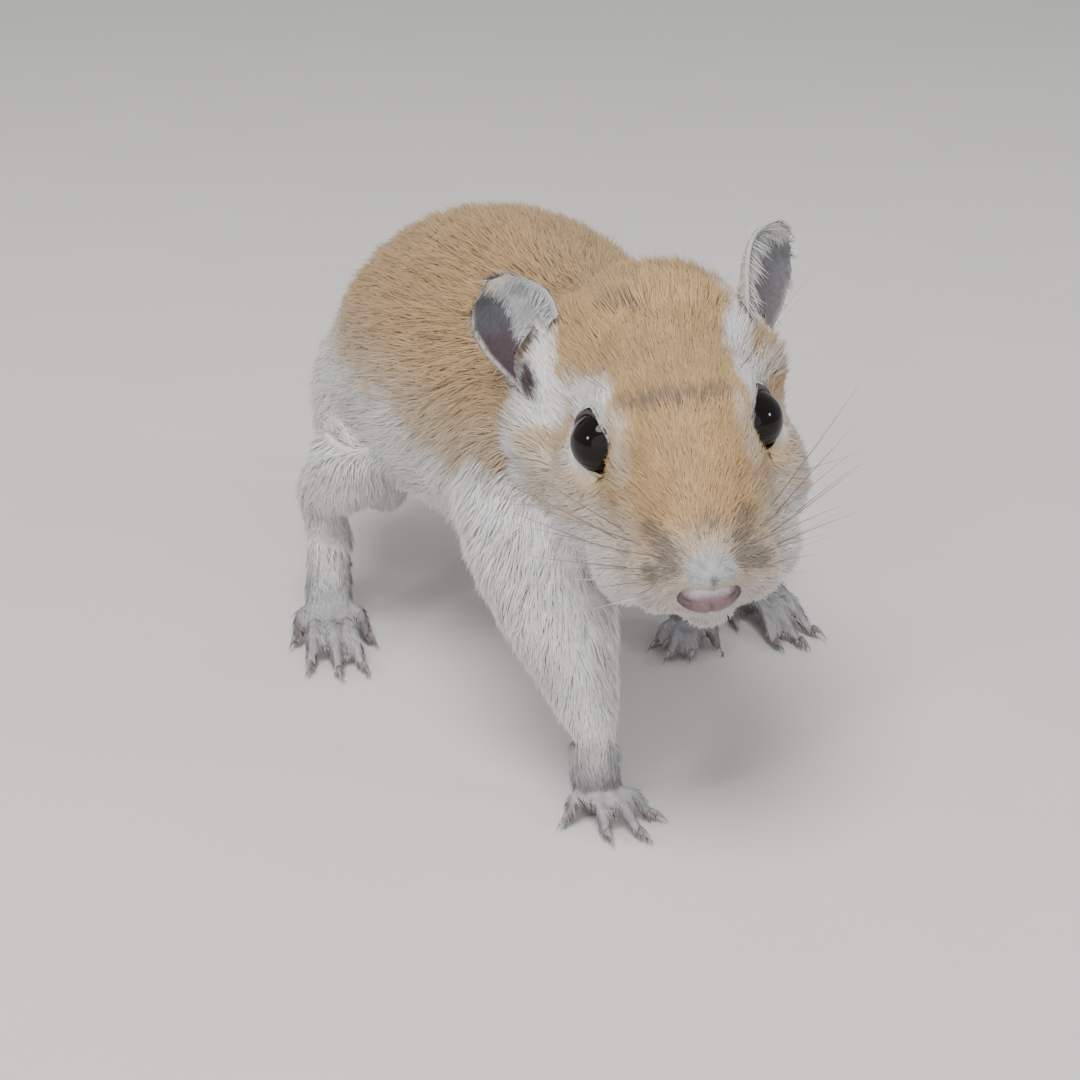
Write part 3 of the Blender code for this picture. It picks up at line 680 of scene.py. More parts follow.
def ear_coordinates(head, side):
    """How far along and across the ear each point is, in millimetres, and the way the ear's cup opens."""
    rise = unit(np.array(EAR_RISES[side]))
    opening = np.array(EAR_OPENINGS[side])
    opening = unit(opening - rise * opening.dot(rise))
    across = np.cross(rise, opening)
    if across[0] * side < 0:
        across = -across
    offset = head - np.array(EAR_ROOTS[side])
    return offset @ rise, offset @ across, opening


def in_cup(normals, opening):
    """1 inside the ear's cup and 0 on its back."""
    return smoothstep(0.0, 0.3, normals @ (HEAD_ROTATION @ opening))


def ear_growth(head, normals, side):
    """The growth on one ear: down on its back, longer silver hairs over the inner half of the cup."""
    along, across, opening = ear_coordinates(head, side)
    inside = in_cup(normals, opening)
    inner = inside * smoothstep(0.3, -0.5, across - profile(along, EAR_SILVER))
    outer = inside * (1 - inner)
    fields = np.tile(np.array(GROWTHS["ear"], float), (len(head), 1))
    fields = mix(fields, EAR_HAIRS, inner)
    fields = mix(fields, EAR_DOWN, outer)
    fields[:, 0] *= 1 - 0.85 * outer * smoothstep(9.0, 7.0, along)
    return fields


def head_lie(head):
    """Back from the nose, away round the eyes, and up along the dark line by the right ear."""
    lie = unit(head - np.array(FACE_PARTING))
    lie[:, 2] -= 0.25 * smoothstep(0, -10, head[:, 2])
    from_eye = mirrored(head) - eye_opening()
    from_eye[:, 0] *= np.where(head[:, 0] < 0, -1, 1)
    by_eye = smoothstep(6.4, 3.2, eye_distance(head)) * smoothstep(3.5, -1.5, head[:, 1] - EYE_AT[1])
    lie += 1.5 * unit(from_eye) * by_eye[:, None]
    by_line = smoothstep(3.2, 1.0, line_distance(head, EAR_LINE))
    lie += 1.6 * unit(np.array(EAR_LINE_WAY)) * by_line[:, None]
    return lie @ HEAD_ROTATION.T


def ear_lie(head, normals, side):
    """Up the back of an ear, and out and down inside its cup."""
    rise = np.array(EAR_RISES[side])
    _, _, opening = ear_coordinates(head, side)
    outward = np.cross(rise, opening)
    outward *= side * np.sign(outward[0])
    run = mix(np.tile(rise, (len(head), 1)), outward * 0.75 - rise * 0.7, in_cup(normals, opening))
    return run @ HEAD_ROTATION.T


def lie_of_coat(points, normals, parts):
    """The way the hair would run at each point, before it is laid along the skin."""
    design = design_points(points)
    head = head_points(design)
    kinds = kinds_of(parts)
    lie = np.zeros_like(points)
    for kind, way in LIES.items():
        lie[kinds == kind] = way
    lie[(kinds == "torso") & (design[:, 1] < -24)] = CHEST_LIE

    on_head = kinds == "head"
    lie[on_head] = head_lie(head[on_head])
    on_leg = kinds == "hindleg"
    shank = np.tile(SHANK_LIE, (on_leg.sum(), 1))
    lie[on_leg] = mix(shank, HAUNCH_LIE, smoothstep(12, 22, design[on_leg, 2]))

    on_tail = kinds == "tail"
    middles = (TAIL_ROUTE[1:] + TAIL_ROUTE[:-1]) / 2
    nearest = np.argmin(np.linalg.norm(design[on_tail][:, None] - middles[None], axis=2), axis=1)
    lie[on_tail] = np.diff(TAIL_ROUTE, axis=0)[nearest]

    for side, name in EARS.items():
        on_ear = parts == NODES.index(name)
        lie[on_ear] = ear_lie(head[on_ear], normals[on_ear], side)
    return unit(lie)


def laid(lie, normals):
    """The lie pressed flat along the skin. Where it stands on end there, the hair falls down and back."""
    flat = flattened(lie, normals)
    strength = np.linalg.norm(flat, axis=1)
    fall = flattened(np.tile(FALL, (len(lie), 1)), normals)
    return unit(flat + fall * smoothstep(0.4, 0.05, strength)[:, None] * 0.6)


def face_white(head, design):
    """1 on the white of the face, round the eyes and behind the cheeks."""
    over = mirrored(head)
    ragged = 0.30 * wave_noise(design, 1.9, 6) + 0.25 * wave_noise(design, 3.7, 7)
    white = np.zeros(len(head))
    bands = [(over, *band) for band in WHITE_LINES] + [(head, *LEFT_EAR_BAND)]
    for where, line, radius in bands:
        white = np.maximum(white, smoothstep(0.7, -0.7, line_distance(where, line) - radius + ragged))
    line, radius = PALE_BEFORE_EYE
    pale = smoothstep(0.8, -0.8, line_distance(over, line) - radius)
    return np.maximum(white, 0.35 * pale)


def gold_share(design, head, kinds):
    """1 where the coat is gold and 0 where it is white."""
    height = design[:, 2]
    edge = profile(design[:, 1], BODY_EDGE)
    edge = edge + 0.7 * wave_noise(design, 9.0, 3) + 0.5 * wave_noise(design, 3.0, 8)
    body = smoothstep(-1.5, 1.5, height - edge)

    side, along, up = np.abs(head[:, 0]), head[:, 1], head[:, 2]
    jaw = profile(along, JAW_EDGE) + 0.35 * wave_noise(design, 3.0, 4)
    blur = profile(along, JAW_BLUR)
    white = face_white(head, design)
    face = smoothstep(-blur, blur, up - jaw) * (1 - white)
    muzzle_side = smoothstep(4.2, 6.2, side) * smoothstep(-7.5, -11, along)
    # The lower cheeks keep less gold: partly their own paler tan, partly painted light where they face down.
    cheek = smoothstep(-1.5, -5.0, up) * smoothstep(-12, -8, along) * smoothstep(5, 8, side)
    face = face * (1 - 0.28 * muzzle_side) * (1 - 0.25 * cheek)

    gold = np.where(kinds == "head", face, body)
    gold = np.where(kinds == "neck", body * (1 - white), gold)
    gold = np.where(np.isin(kinds, ("foreleg", *FEET)), 0.0, gold)
    return np.where(kinds == "hindleg", body * smoothstep(27, 33, height), gold)


def smudge_share(head):
    """Where dark tips gather: across the brow, on the crown and at the whisker pads."""
    brow = smoothstep(1.3, 0.5, line_distance(head, BROW_SMUDGE))
    crown = smoothstep(1.5, 0.5, line_distance(head, CROWN_SMUDGE))
    bridge = smoothstep(1.5, 0.5, distance(head, BRIDGE_SMUDGE_AT))
    pad = smoothstep(1.3, 0.4, line_distance(mirrored(head), PAD_SMUDGE))
    return np.clip(brow + crown * 0.75 + bridge * 0.6 + pad, 0, 1)


def body_colours(design, head, normals, kinds, coat, skin):
    """Gold over white with painted light paling the flanks and the lower head, grey feet with bare toes, and
    the tail's dark tuft.
    """
    gold, white = np.array(coat.gold), np.array(coat.white)
    whites = np.tile(white, (len(head), 1))
    on_head = kinds == "head"
    warm = smoothstep(-4, -9, head[:, 1]) * smoothstep(5.5, 3.5, np.abs(head[:, 0])) * on_head
    # Painted light: the flanks are paled towards white, as if lit more than the back.
    painted_flank_light = smoothstep(38, 30, design[:, 2]) * np.isin(kinds, ("torso", "neck"))
    # Painted light: the lower head is paled towards white where it faces down, away from the light.
    cheek = smoothstep(-1.5, -5.0, head[:, 2]) * on_head
    golds = gold * mix(np.ones((len(head), 3)), WARM_TINT, warm)
    golds = mix(golds, white, 0.26 * painted_flank_light)
    golds = mix(golds, white, 0.3 * cheek)
    tail_top = smoothstep(-0.5, 0.5, normals[:, 2])
    share = np.where(kinds == "tail", 0.25 + 0.75 * tail_top, gold_share(design, head, kinds))
    colours = mix(whites, golds, share)

    grey = mix(whites, FOOT_GREY, smoothstep(10, 4, design[:, 2]))
    low = smoothstep(5.0, 2.8, design[:, 2]) * smoothstep(0.85, 0.35, normals[:, 2])
    toes = np.array(skin.mauve) * np.array(TOE_TINT)
    colours = np.where(np.isin(kinds, FEET)[:, None], mix(grey, toes, 0.75 * low), colours)
    tuft = smoothstep(21, 29, design[:, 0] + 1.5 * wave_noise(design, 2.5, 12)) * (kinds == "tail")
    return mix(colours, TUFT_BROWN, 0.85 * tuft)


def face_marks(colours, design, head, kinds, coat, skin):
    """The lips, the shaded muzzle with its dark tips, the frosted nose with painted shade in its cleft, and
    the dark line of painted shade by the right ear.
    """
    on_head = kinds == "head"
    colours = mix(colours, LIP_PINK, 0.8 * smoothstep(3.6, 1.6, line_distance(head, LIP_LINE)) * on_head)
    colours = mix(colours, MUZZLE_SHADE, 0.5 * smoothstep(-13.2, -15.6, head[:, 1]) * on_head)
    colours = mix(colours, np.array(coat.smudge), 0.56 * smudge_share(head) * on_head)

    from_frost = distance(head / np.array(FROST_RADII), np.array(FROST_AT) / np.array(FROST_RADII))
    frost = smoothstep(1.25, 0.8, from_frost + 0.2 * wave_noise(design, 0.9, 9)) * on_head
    # Painted shade darkens the cleft down the middle; the specks are the nose's own frosting.
    cleft = smoothstep(0.3, 0.1, np.abs(head[:, 0] - 0.2)) * smoothstep(-4.0, -4.6, head[:, 2])
    speck = smoothstep(0.35, 0.8, wave_noise(design, 0.7, 10))
    dimmed = 1 - 0.7 * np.maximum(cleft, 0.6 * speck)
    colours = mix(colours, np.array(FROST_GREY) * dimmed[:, None], frost)

    # Along the line by the right ear: white on either side, and painted shade down its groove.
    from_line = line_distance(head, EAR_LINE)
    near = on_face_or_neck(kinds)
    colours = mix(colours, np.array(coat.white), smoothstep(2.9, 2.1, from_line) * near)
    return mix(colours, np.array(skin.ear_depth_shade), smoothstep(1.15, 0.8, from_line) * near)


def ear_colours(head, normals, side, coat, skin):
    """Skin and hair of an ear: a grey cup with painted shade in its depth, silver hairs, a pale rim and a
    pale back.
    """
    along, across, opening = ear_coordinates(head, side)
    back = mix(np.array(coat.white) * 0.9, np.array(coat.gold), 0.25)
    silver = np.array(coat.silver)
    cup = np.tile(np.array(skin.ear_grey), (len(head), 1))
    # Painted shade towards the deep root of the cup.
    cup = mix(cup, np.array(skin.ear_depth_shade), smoothstep(9.5, 7.0, along))
    if side == LEFT:
        cup = mix(cup, silver, 0.14)
    cup = mix(cup, silver * 0.62, smoothstep(0.3, -0.7, across - profile(along, EAR_SILVER)))
    colours = mix(np.tile(back, (len(head), 1)), cup, in_cup(normals, opening))
    at_side = smoothstep(-0.7, -0.1, np.abs(across) - profile(along, EAR_HALF_WIDTHS))
    at_tip = smoothstep(EAR_LENGTH - 1.2, EAR_LENGTH - 0.4, along)
    return mix(colours, EAR_RIM, 0.8 * np.maximum(at_side, at_tip))


def coat_colours(points, normals, parts):
    """The coat's markings at each point, as linear colours."""
    coat = bpy.context.scene.gerbil_coat
    skin = bpy.context.scene.gerbil_skin
    design = design_points(points)
    head = head_points(design)
    kinds = kinds_of(parts)
    colours = body_colours(design, head, normals, kinds, coat, skin)
    colours = face_marks(colours, design, head, kinds, coat, skin)
    for side, name in EARS.items():
        on_ear = parts == NODES.index(name)
        colours[on_ear] = ear_colours(head[on_ear], normals[on_ear], side, coat, skin)
    return colours


class GERBIL_OT_skin(bpy.types.Operator):
    """Fuse the flesh into one skin that lies inside the solids by the coat's depth"""

    bl_idname = "gerbil.skin"
    bl_label = "Skin"

    def execute(self, context):
        skin = self.fuse(context.scene.gerbil_skin)
        parts = nearest_flesh(vertex_array(skin.data))
        self.sink(skin, parts)
        skin = join([skin, *self.ears()], "skin")
        points = vertex_array(skin.data)
        on_left = head_points(design_points(points))[len(parts):, 0] > 0
        parts = np.concatenate([parts, np.where(on_left, NODES.index(EARS[LEFT]), NODES.index(EARS[RIGHT]))])
        bpy.ops.object.shade_smooth()
        self.unwrap(skin)
        skin.data.materials.clear()
        skin.data.materials.append(skin_material())
        # The skin under the coat takes the coat's colours a tenth darker, as painted shade in the gaps
        # between the hairs.
        store_colours(skin.data, coat_colours(points, normal_array(skin.data), parts) * 0.9)
        GERBIL_OT_coat.ground = Skin(skin, parts)
        finish_piece(skin, "skin", *NODES)
        return {"FINISHED"}

    def fuse(self, settings):
        """One closed skin over all the flesh nodes but the ears."""
        skin = join([merged_copy(name, name + "_flesh") for name in FLESH], "skin")
        swell = skin.modifiers.new("swell", "DISPLACE")
        swell.strength = 0.2 * MM
        swell.mid_level = 0
        fuse = skin.modifiers.new("fuse", "REMESH")
        fuse.mode = "VOXEL"
        fuse.voxel_size = settings.voxel
        smooth = skin.modifiers.new("smooth", "SMOOTH")
        smooth.factor = 0.5
        smooth.iterations = 5
        apply_modifiers(skin)
        thin = skin.modifiers.new("thin", "DECIMATE")
        thin.ratio = min(1.0, settings.triangles / (2 * len(skin.data.polygons)))
        apply_modifiers(skin)
        return skin

    def sink(self, skin, parts):
        """Moves the skin in by the depth of the coat, and a little further in front of the eyes."""
        mesh = skin.data
        points = vertex_array(mesh)
        pairs = edge_pairs(mesh)
        depth = soften(growth_fields(points, parts)[:, 3], pairs, 14)
        normals = unit(soften(normal_array(mesh), pairs, 6))
        head = head_points(design_points(points))
        hollow = 0.5 * smoothstep(4.6, 3.1, eye_distance(head)) * smoothstep(1.5, -1.5, head[:, 1])
        moved = points - normals * ((depth + 0.2 + hollow) * MM)[:, None]
        moved += self.lower_lids(head) * MM
        moved[:, 2] = np.maximum(moved[:, 2], 0.05 * MM)
        set_vertices(mesh, moved)

    def lower_lids(self, head):
        """How far the skin under each eye is drawn up over the eyeball, in millimetres."""
        up = np.array((-0.42, -0.33, 0.87))
        offset = mirrored(head) - eye_opening()
        under = smoothstep(-0.2, -2.0, offset @ up) * smoothstep(5.4, 3.2, np.linalg.norm(offset, axis=1))
        drawn = up * 1.05 * under[:, None]
        drawn[:, 0] *= np.where(head[:, 0] < 0, -1, 1)
        return drawn @ HEAD_ROTATION.T

    def ears(self):
        """The ears' thin cups, smoothed and a little thinner than the solids."""
        made = []
        for name in EARS.values():
            ear = merged_copy(name, name + "_cup")
            smooth = ear.modifiers.new("smooth", "SUBSURF")
            smooth.levels = 2
            smooth.render_levels = 2
            thin = ear.modifiers.new("thin", "DISPLACE")
            thin.strength = -0.08 * MM
            thin.mid_level = 0
            apply_modifiers(ear)
            made.append(ear)
        return made

    def unwrap(self, skin):
        while skin.data.uv_layers:
            skin.data.uv_layers.remove(skin.data.uv_layers[0])
        skin.data.uv_layers.new(name=UV_MAP)
        enter_edit(skin)
        bpy.ops.uv.smart_project(angle_limit=math.radians(66), island_margin=0.002)
        leave_edit()


def blade_shape():
    """One hair blade, a three-sided spindle along Z that is widest near its root: its points and faces."""
    deselect()
    bpy.ops.mesh.primitive_cone_add(
        vertices=3, radius1=0.5, radius2=0, depth=1 - BLADE_WAIST, location=(0, 0, (1 + BLADE_WAIST) / 2)
    )
    blade = take_primitive("blade")
    enter_edit(blade)
    bpy.ops.mesh.select_mode(type="FACE")
    bpy.ops.mesh.select_all(action="DESELECT")
    leave_edit()
    for polygon in blade.data.polygons:
        polygon.select = polygon.center.z < BLADE_WAIST + 0.04
    bpy.ops.object.mode_set(mode="EDIT")
    bpy.ops.mesh.poke(offset=BLADE_WAIST)
    bpy.ops.mesh.select_mode(type="VERT")
    leave_edit()
    points = vertex_array(blade.data)
    faces = [list(p.vertices) for p in blade.data.polygons]
    bpy.data.objects.remove(blade)
    return points, faces


Roots = namedtuple("Roots", "at normal lie length width height bend sway lean uv colour")


class Sown:
    """Random places on the wanted faces of the skin, as many as its density asks."""

    def __init__(self, skin, density, wanted, rng):
        corners = skin.points[skin.faces]
        spans = np.cross(corners[:, 1] - corners[:, 0], corners[:, 2] - corners[:, 0])
        area = np.linalg.norm(spans, axis=1) / 2
        ends = np.cumsum(area / MM**2 * density[skin.faces].mean(axis=1) * wanted)
        self.count = int(ends[-1])
        picks = (np.arange(self.count) + rng.random(self.count)) * ends[-1] / self.count
        chosen = np.minimum(np.searchsorted(ends, picks), len(ends) - 1)
        a, b = rng.random((2, self.count))
        over = a + b > 1
        a[over], b[over] = 1 - a[over], 1 - b[over]
        self.faces = skin.faces[chosen]
        self.shares = np.stack([1 - a - b, a, b], axis=1)
        self.uv = (skin.uv[chosen] * self.shares[:, :, None]).sum(axis=1)

    def read(self, values):
        """A value of the skin's vertices, at each place."""
        corners = values[self.faces]
        shares = self.shares if corners.ndim == 2 else self.shares[:, :, None]
        return (corners * shares).sum(axis=1)


def blade_points(roots, t, wide, ridge):
    """Every point of every blade, from the blade's own height, width and ridge at each of its points."""
    # A hair leaves the skin steeply and then lies over, so that its tip is as high as the coat is deep.
    bend = roots.bend[:, None]
    rise = roots.height[:, None] * ((1 + bend) * t - bend * t**2)
    rise = rise + roots.width[:, None] * ridge - ROOT_DEPTH * (t < 0.2)
    run = np.sqrt(np.maximum(roots.length**2 - roots.height**2, 0.1))[:, None] * t
    aside = roots.width[:, None] * wide + roots.length[:, None] * roots.sway[:, None] * t**2
    across = np.cross(roots.normal, roots.lie)
    points = (
        roots.at[:, None]
        + (roots.lie[:, None] * run[..., None] + across[:, None] * aside[..., None]) * MM
        + roots.normal[:, None] * rise[..., None] * MM
        + roots.lean[:, None] * (t**2)[None, :, None]
    )
    points[..., 2] = np.maximum(points[..., 2], 0.02 * MM)
    return points


def repeated_mesh(name, points, faces):
    """A mesh of many copies of one shape, and the corners of its faces on the first of them."""
    count, size = points.shape[:2]
    corners = np.concatenate([np.array(face) for face in faces])
    loops = (np.arange(count)[:, None] * size + corners[None]).ravel()
    starts = np.concatenate([[0], np.cumsum([len(face) for face in faces])[:-1]])
    starts = (np.arange(count)[:, None] * len(corners) + starts[None]).ravel()
    mesh = bpy.data.meshes.new(name)
    mesh.vertices.add(count * size)
    mesh.loops.add(len(loops))
    mesh.polygons.add(len(starts))
    mesh.vertices.foreach_set("co", points.astype(np.float32).ravel())
    mesh.loops.foreach_set("vertex_index", loops.astype(np.int32))
    mesh.polygons.foreach_set("loop_start", starts.astype(np.int32))
    mesh.polygons.foreach_set("use_smooth", np.ones(len(starts), bool))
    mesh.update(calc_edges=True)
    return mesh, corners


def build_blades(name, roots, shape, material):
    """One piece of coat from its roots, lit as part of a soft surface."""
    blade, faces = shape
    t = blade[:, 2]
    # Blades are a little over half as thick as wide, with the ridge along the middle.
    wide = blade[:, 0] / np.abs(blade[:, 0]).max() * 0.5
    ridge = blade[:, 1] / np.abs(blade[:, 1]).max() * 0.3
    mesh, corners = repeated_mesh(name, blade_points(roots, t, wide, ridge), faces)

    layer = mesh.uv_layers.new(name=UV_MAP)
    offsets = np.stack([wide, t - 0.5], axis=1) * BLADE_PATCH
    uv = (roots.uv[:, None] + offsets[None])[:, corners]
    layer.data.foreach_set("uv", uv.astype(np.float32).ravel())

    # Darker at the root: partly the greyer underfur, partly painted shade deep in the coat.
    colours = roots.colour[:, None] * profile(t, BLADE_UNDERFUR_AND_SHADE)[None, :, None]
    store_colours(mesh, np.clip(colours.reshape(-1, 3), 0, 0.95))

    across = np.cross(roots.normal, roots.lie)
    outward = unit(blade[:, :2])[:, 0] * 0.35
    soft = roots.normal[:, None] + across[:, None] * outward[None, :, None] + roots.lie[:, None] * 0.15
    mesh.normals_split_custom_set_from_vertices(unit(soft).reshape(-1, 3).tolist())

    mesh.materials.append(material)
    finish_piece(add_object(name, mesh), "coat")


class GERBIL_OT_coat(bpy.types.Operator):
    """Grow the coat over the skin, in pieces named for where they lie"""

    bl_idname = "gerbil.coat"
    bl_label = "Coat"
    ground = None

    def execute(self, context):
        settings = context.scene.gerbil_coat
        skin = self.ground
        if skin is None:
            raise RuntimeError("the coat grows on the skin, which is made first")
        rng = np.random.default_rng(settings.seed)
        self.prepare(skin)
        sample = 1.0
        shape = blade_shape()
        material = fur_material()
        face_kinds = kinds_of(skin.parts)[skin.faces[:, 0]]
        for group, members in COAT_GROUPS.items():
            wanted = np.isin(face_kinds, members) * sample * (1 - self.bare[skin.faces].mean(axis=1))
            sown = Sown(skin, self.fields[:, 0], wanted, rng)
            roots = self.roots(sown, skin, np.array(settings.smudge), rng)
            pieces = max(1, math.ceil(sown.count / MOST_BLADES))
            order = np.argsort(roots.at[:, 1], kind="stable")
            for index, part in enumerate(np.array_split(order, pieces)):
                name = f"coat_{group}" if pieces == 1 else f"coat_{group}_{index + 1}"
                build_blades(name, Roots(*[values[part] for values in roots]), shape, material)
        return {"FINISHED"}

    def prepare(self, skin):
        """The coat at each vertex of the skin: its growth, its lie, its colours and where it is bare."""
        sides = np.concatenate([skin.faces[:, [0, 1]], skin.faces[:, [1, 2]], skin.faces[:, [2, 0]]])
        pairs = np.unique(np.sort(sides, axis=1), axis=0)
        design = design_points(skin.points)
        head = head_points(design)
        kinds = kinds_of(skin.parts)
        self.fields = soften(growth_fields(skin.points, skin.parts), pairs, 16)
        for side, name in EARS.items():
            on_ear = skin.parts == NODES.index(name)
            self.fields[on_ear] = ear_growth(head[on_ear], skin.normals[on_ear], side)
        self.normals = unit(soften(skin.normals, pairs, 3))
        lie = lie_of_coat(skin.points, skin.normals, skin.parts)
        self.lie = laid(soften(lie, pairs, 24), self.normals)
        self.colours = coat_colours(skin.points, skin.normals, skin.parts)
        self.dark = smudge_share(head) * (kinds == "head")
        self.bare = self.bare_share(skin, head, design, kinds)

    def bare_share(self, skin, head, design, kinds):
        """1 where no hair grows: the nose pad, the eyes' openings and the soles. It is thin by the toes."""
        from_nose = distance(head / np.array(NOSE_RADII), np.array(NOSE_AT) / np.array(NOSE_RADII)) / 0.95
        bare = smoothstep(1.15, 0.95, from_nose)
        bare = np.maximum(bare, smoothstep(3.3, 2.9, eye_distance(head)) * (kinds == "head"))
        feet = np.isin(kinds, FEET)
        bare = np.maximum(bare, feet * smoothstep(-0.2, -0.6, skin.normals[:, 2]))
        return np.maximum(bare, feet * smoothstep(2.2, 1.2, design[:, 2]) * 0.6)

    def locks(self, at, rng):
        """Gathers the roots into locks: for each root the lock it belongs to, and each lock's middle."""
        centres = at[rng.choice(len(at), max(1, len(at) // LOCK_BLADES), replace=False)]
        tree = KDTree(len(centres))
        for index, centre in enumerate(centres.tolist()):
            tree.insert(centre, index)
        tree.balance()
        return np.array([tree.find(spot)[1] for spot in at.tolist()]), centres

    def roots(self, sown, skin, smudge, rng):
        """The blades on the sown places, each a little different, turned and lit by its lock."""
        count = sown.count
        at = sown.read(skin.points)
        spots = design_points(at)
        _, length, width, depth = sown.read(self.fields).T
        normal = unit(sown.read(self.normals))
        lie = sown.read(self.lie)
        lock, centres = self.locks(at, rng)
        lock_turn, lock_light, lock_height = rng.normal(0, 1, (3, len(centres)))

        drift = 0.16 * wave_noise(spots, 8.0, 21) + 0.12 * wave_noise(spots, 3.0, 22)
        turn = rng.normal(0, 0.08, count) + drift * np.clip(length / 4, 0.4, 1) + 0.13 * lock_turn[lock]
        lie = unit(lie * np.cos(turn)[:, None] + np.cross(normal, lie) * np.sin(turn)[:, None])
        lie = unit(flattened(lie, normal))
        guard = rng.random(count) < GUARD_SHARE
        reach = np.where(guard, GUARD_REACH, 1.0)
        length = length * rng.uniform(0.7, 1.12, count) * reach
        height = depth * rng.uniform(0.4, 1.05, count) * reach
        height = height * (1 + 0.16 * wave_noise(spots, 3.1, 23) + 0.14 * np.clip(lock_height[lock], -2, 2))
        width = width * rng.uniform(0.7, 1.15, count) * np.where(guard, 0.8, 1.0)
        lean = flattened((centres[lock] - at) * LOCK_LEAN, normal)

        streaks = spots * np.array((1.0, 0.35, 0.8))
        light = 1 + rng.normal(0, 0.075, count) + 0.045 * lock_light[lock]
        light += 0.05 * wave_noise(streaks, 2.0, 24) + 0.04 * wave_noise(streaks, 6.0, 25)
        colour = sown.read(self.colours) * np.clip(light, 0.72, 1.28)[:, None]
        colour = colour * (1 + rng.normal(0, 1, (count, 1)) * np.array((0.02, 0.0, -0.04)))
        tipped = rng.random(count) < 0.012 + 0.75 * sown.read(self.dark)
        tipped &= colour[:, 2] < 0.42
        colour = np.where(tipped[:, None], mix(colour, smudge, 0.68), colour)
        bend = rng.uniform(0.2, 0.8, count)
        sway = rng.normal(0, 0.05, count)
        return Roots(at, normal, lie, length, width, height, bend, sway, lean, sown.uv, colour)


def eye_axes(side):
    """The eye's centre, the way it looks, along its opening to the front corner, and across it."""
    low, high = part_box("eye_" + SIDE_NAMES[side])
    look = along_head((side * EYE_LOOK[0], EYE_LOOK[1], EYE_LOOK[2]))
    forward = along_head((0, -1, -0.55))
    along = (forward - look * forward.dot(look)).normalized()
    return (low + high) / 2, look, along, along.cross(look) * side


class GERBIL_OT_eyes(bpy.types.Operator):
    """Set the glossy black eyes and the dark rims of the lids"""

    bl_idname = "gerbil.eyes"
    bl_label = "Eyes"

    def execute(self, context):
        wet = self.eye_material()
        rim = self.lid_material(context.scene.gerbil_skin)
        for side in (RIGHT, LEFT):
            self.eyeball(side, wet)
            self.lid(side, rim)
        return {"FINISHED"}

    def eyeball(self, side, material):
        """A round eye with a clear bulge in front."""
        centre, look, _, _ = eye_axes(side)
        deselect()
        bpy.ops.mesh.primitive_uv_sphere_add(
            segments=64, ring_count=40, radius=EYE_RADIUS * MM, location=(0, 0, 0)
        )
        eye = take_primitive("eyeball_" + SIDE_NAMES[side])
        points = vertex_array(eye.data)
        points[:, 2] += smoothstep(0.55, 1.0, points[:, 2] / (EYE_RADIUS * MM)) * 0.22 * MM
        aim = np.array(look.to_track_quat("Z", "Y").to_matrix())
        set_vertices(eye.data, points @ aim.T + np.array(centre))
        bpy.ops.object.shade_smooth()
        eye.data.materials.append(material)
        finish_piece(eye, "eye", "eye_" + SIDE_NAMES[side])

    def lid(self, side, material):
        """The rim round the opening, drawn out at its front corner."""
        centre, look, along, upward = eye_axes(side)
        deselect()
        bpy.ops.mesh.primitive_torus_add(
            major_segments=72, minor_segments=12, major_radius=1, minor_radius=0.2, location=(0, 0, 0)
        )
        lid = take_primitive("lid_" + SIDE_NAMES[side])
        points = vertex_array(lid.data)
        around = np.arctan2(points[:, 1], points[:, 0])
        out = np.hypot(points[:, 0], points[:, 1]) - 1
        corner = np.maximum(0, np.cos(around)) ** 8
        reach = EYE_RADIUS * (0.93 + 0.20 * corner)
        height = EYE_RADIUS * (0.84 - 0.24 * smoothstep(0.0, -0.8, np.sin(around)))
        lift = EYE_RADIUS * (0.47 - 0.28 * corner)
        thick = 1.35 - 0.4 * corner
        x = (reach + out * thick) * np.cos(around)
        y = (height + out * thick) * np.sin(around)
        z = lift + points[:, 2] * thick * 1.1
        placed = x[:, None] * np.array(along) + y[:, None] * np.array(upward) + z[:, None] * np.array(look)
        set_vertices(lid.data, placed * MM + np.array(centre))
        enter_edit(lid)
        bpy.ops.mesh.normals_make_consistent(inside=False)
        leave_edit()
        bpy.ops.object.shade_smooth()
        lid.data.materials.append(material)
        finish_piece(lid, "skin")

    def eye_material(self):
        """Near black, a deep brown in patches, and wet."""
        shader = Shader("eye_wet", 0.03, IOR=1.34)
        shader.colour(shader.blend(EYE_DARK, EYE_BROWN, shader.noise(500, 2)))
        return shader.material

    def lid_material(self, settings):
        shader = Shader("lid_skin", 0.42)
        grain = shader.noise(4200, 3)
        shader.colour(shader.blend(settings.lid, LID_PALE, shader.remap(grain, 0.4, 0.75, 0, 0.6)))
        shader.bump(grain, 0.4, 0.05 * MM)
        return shader.material


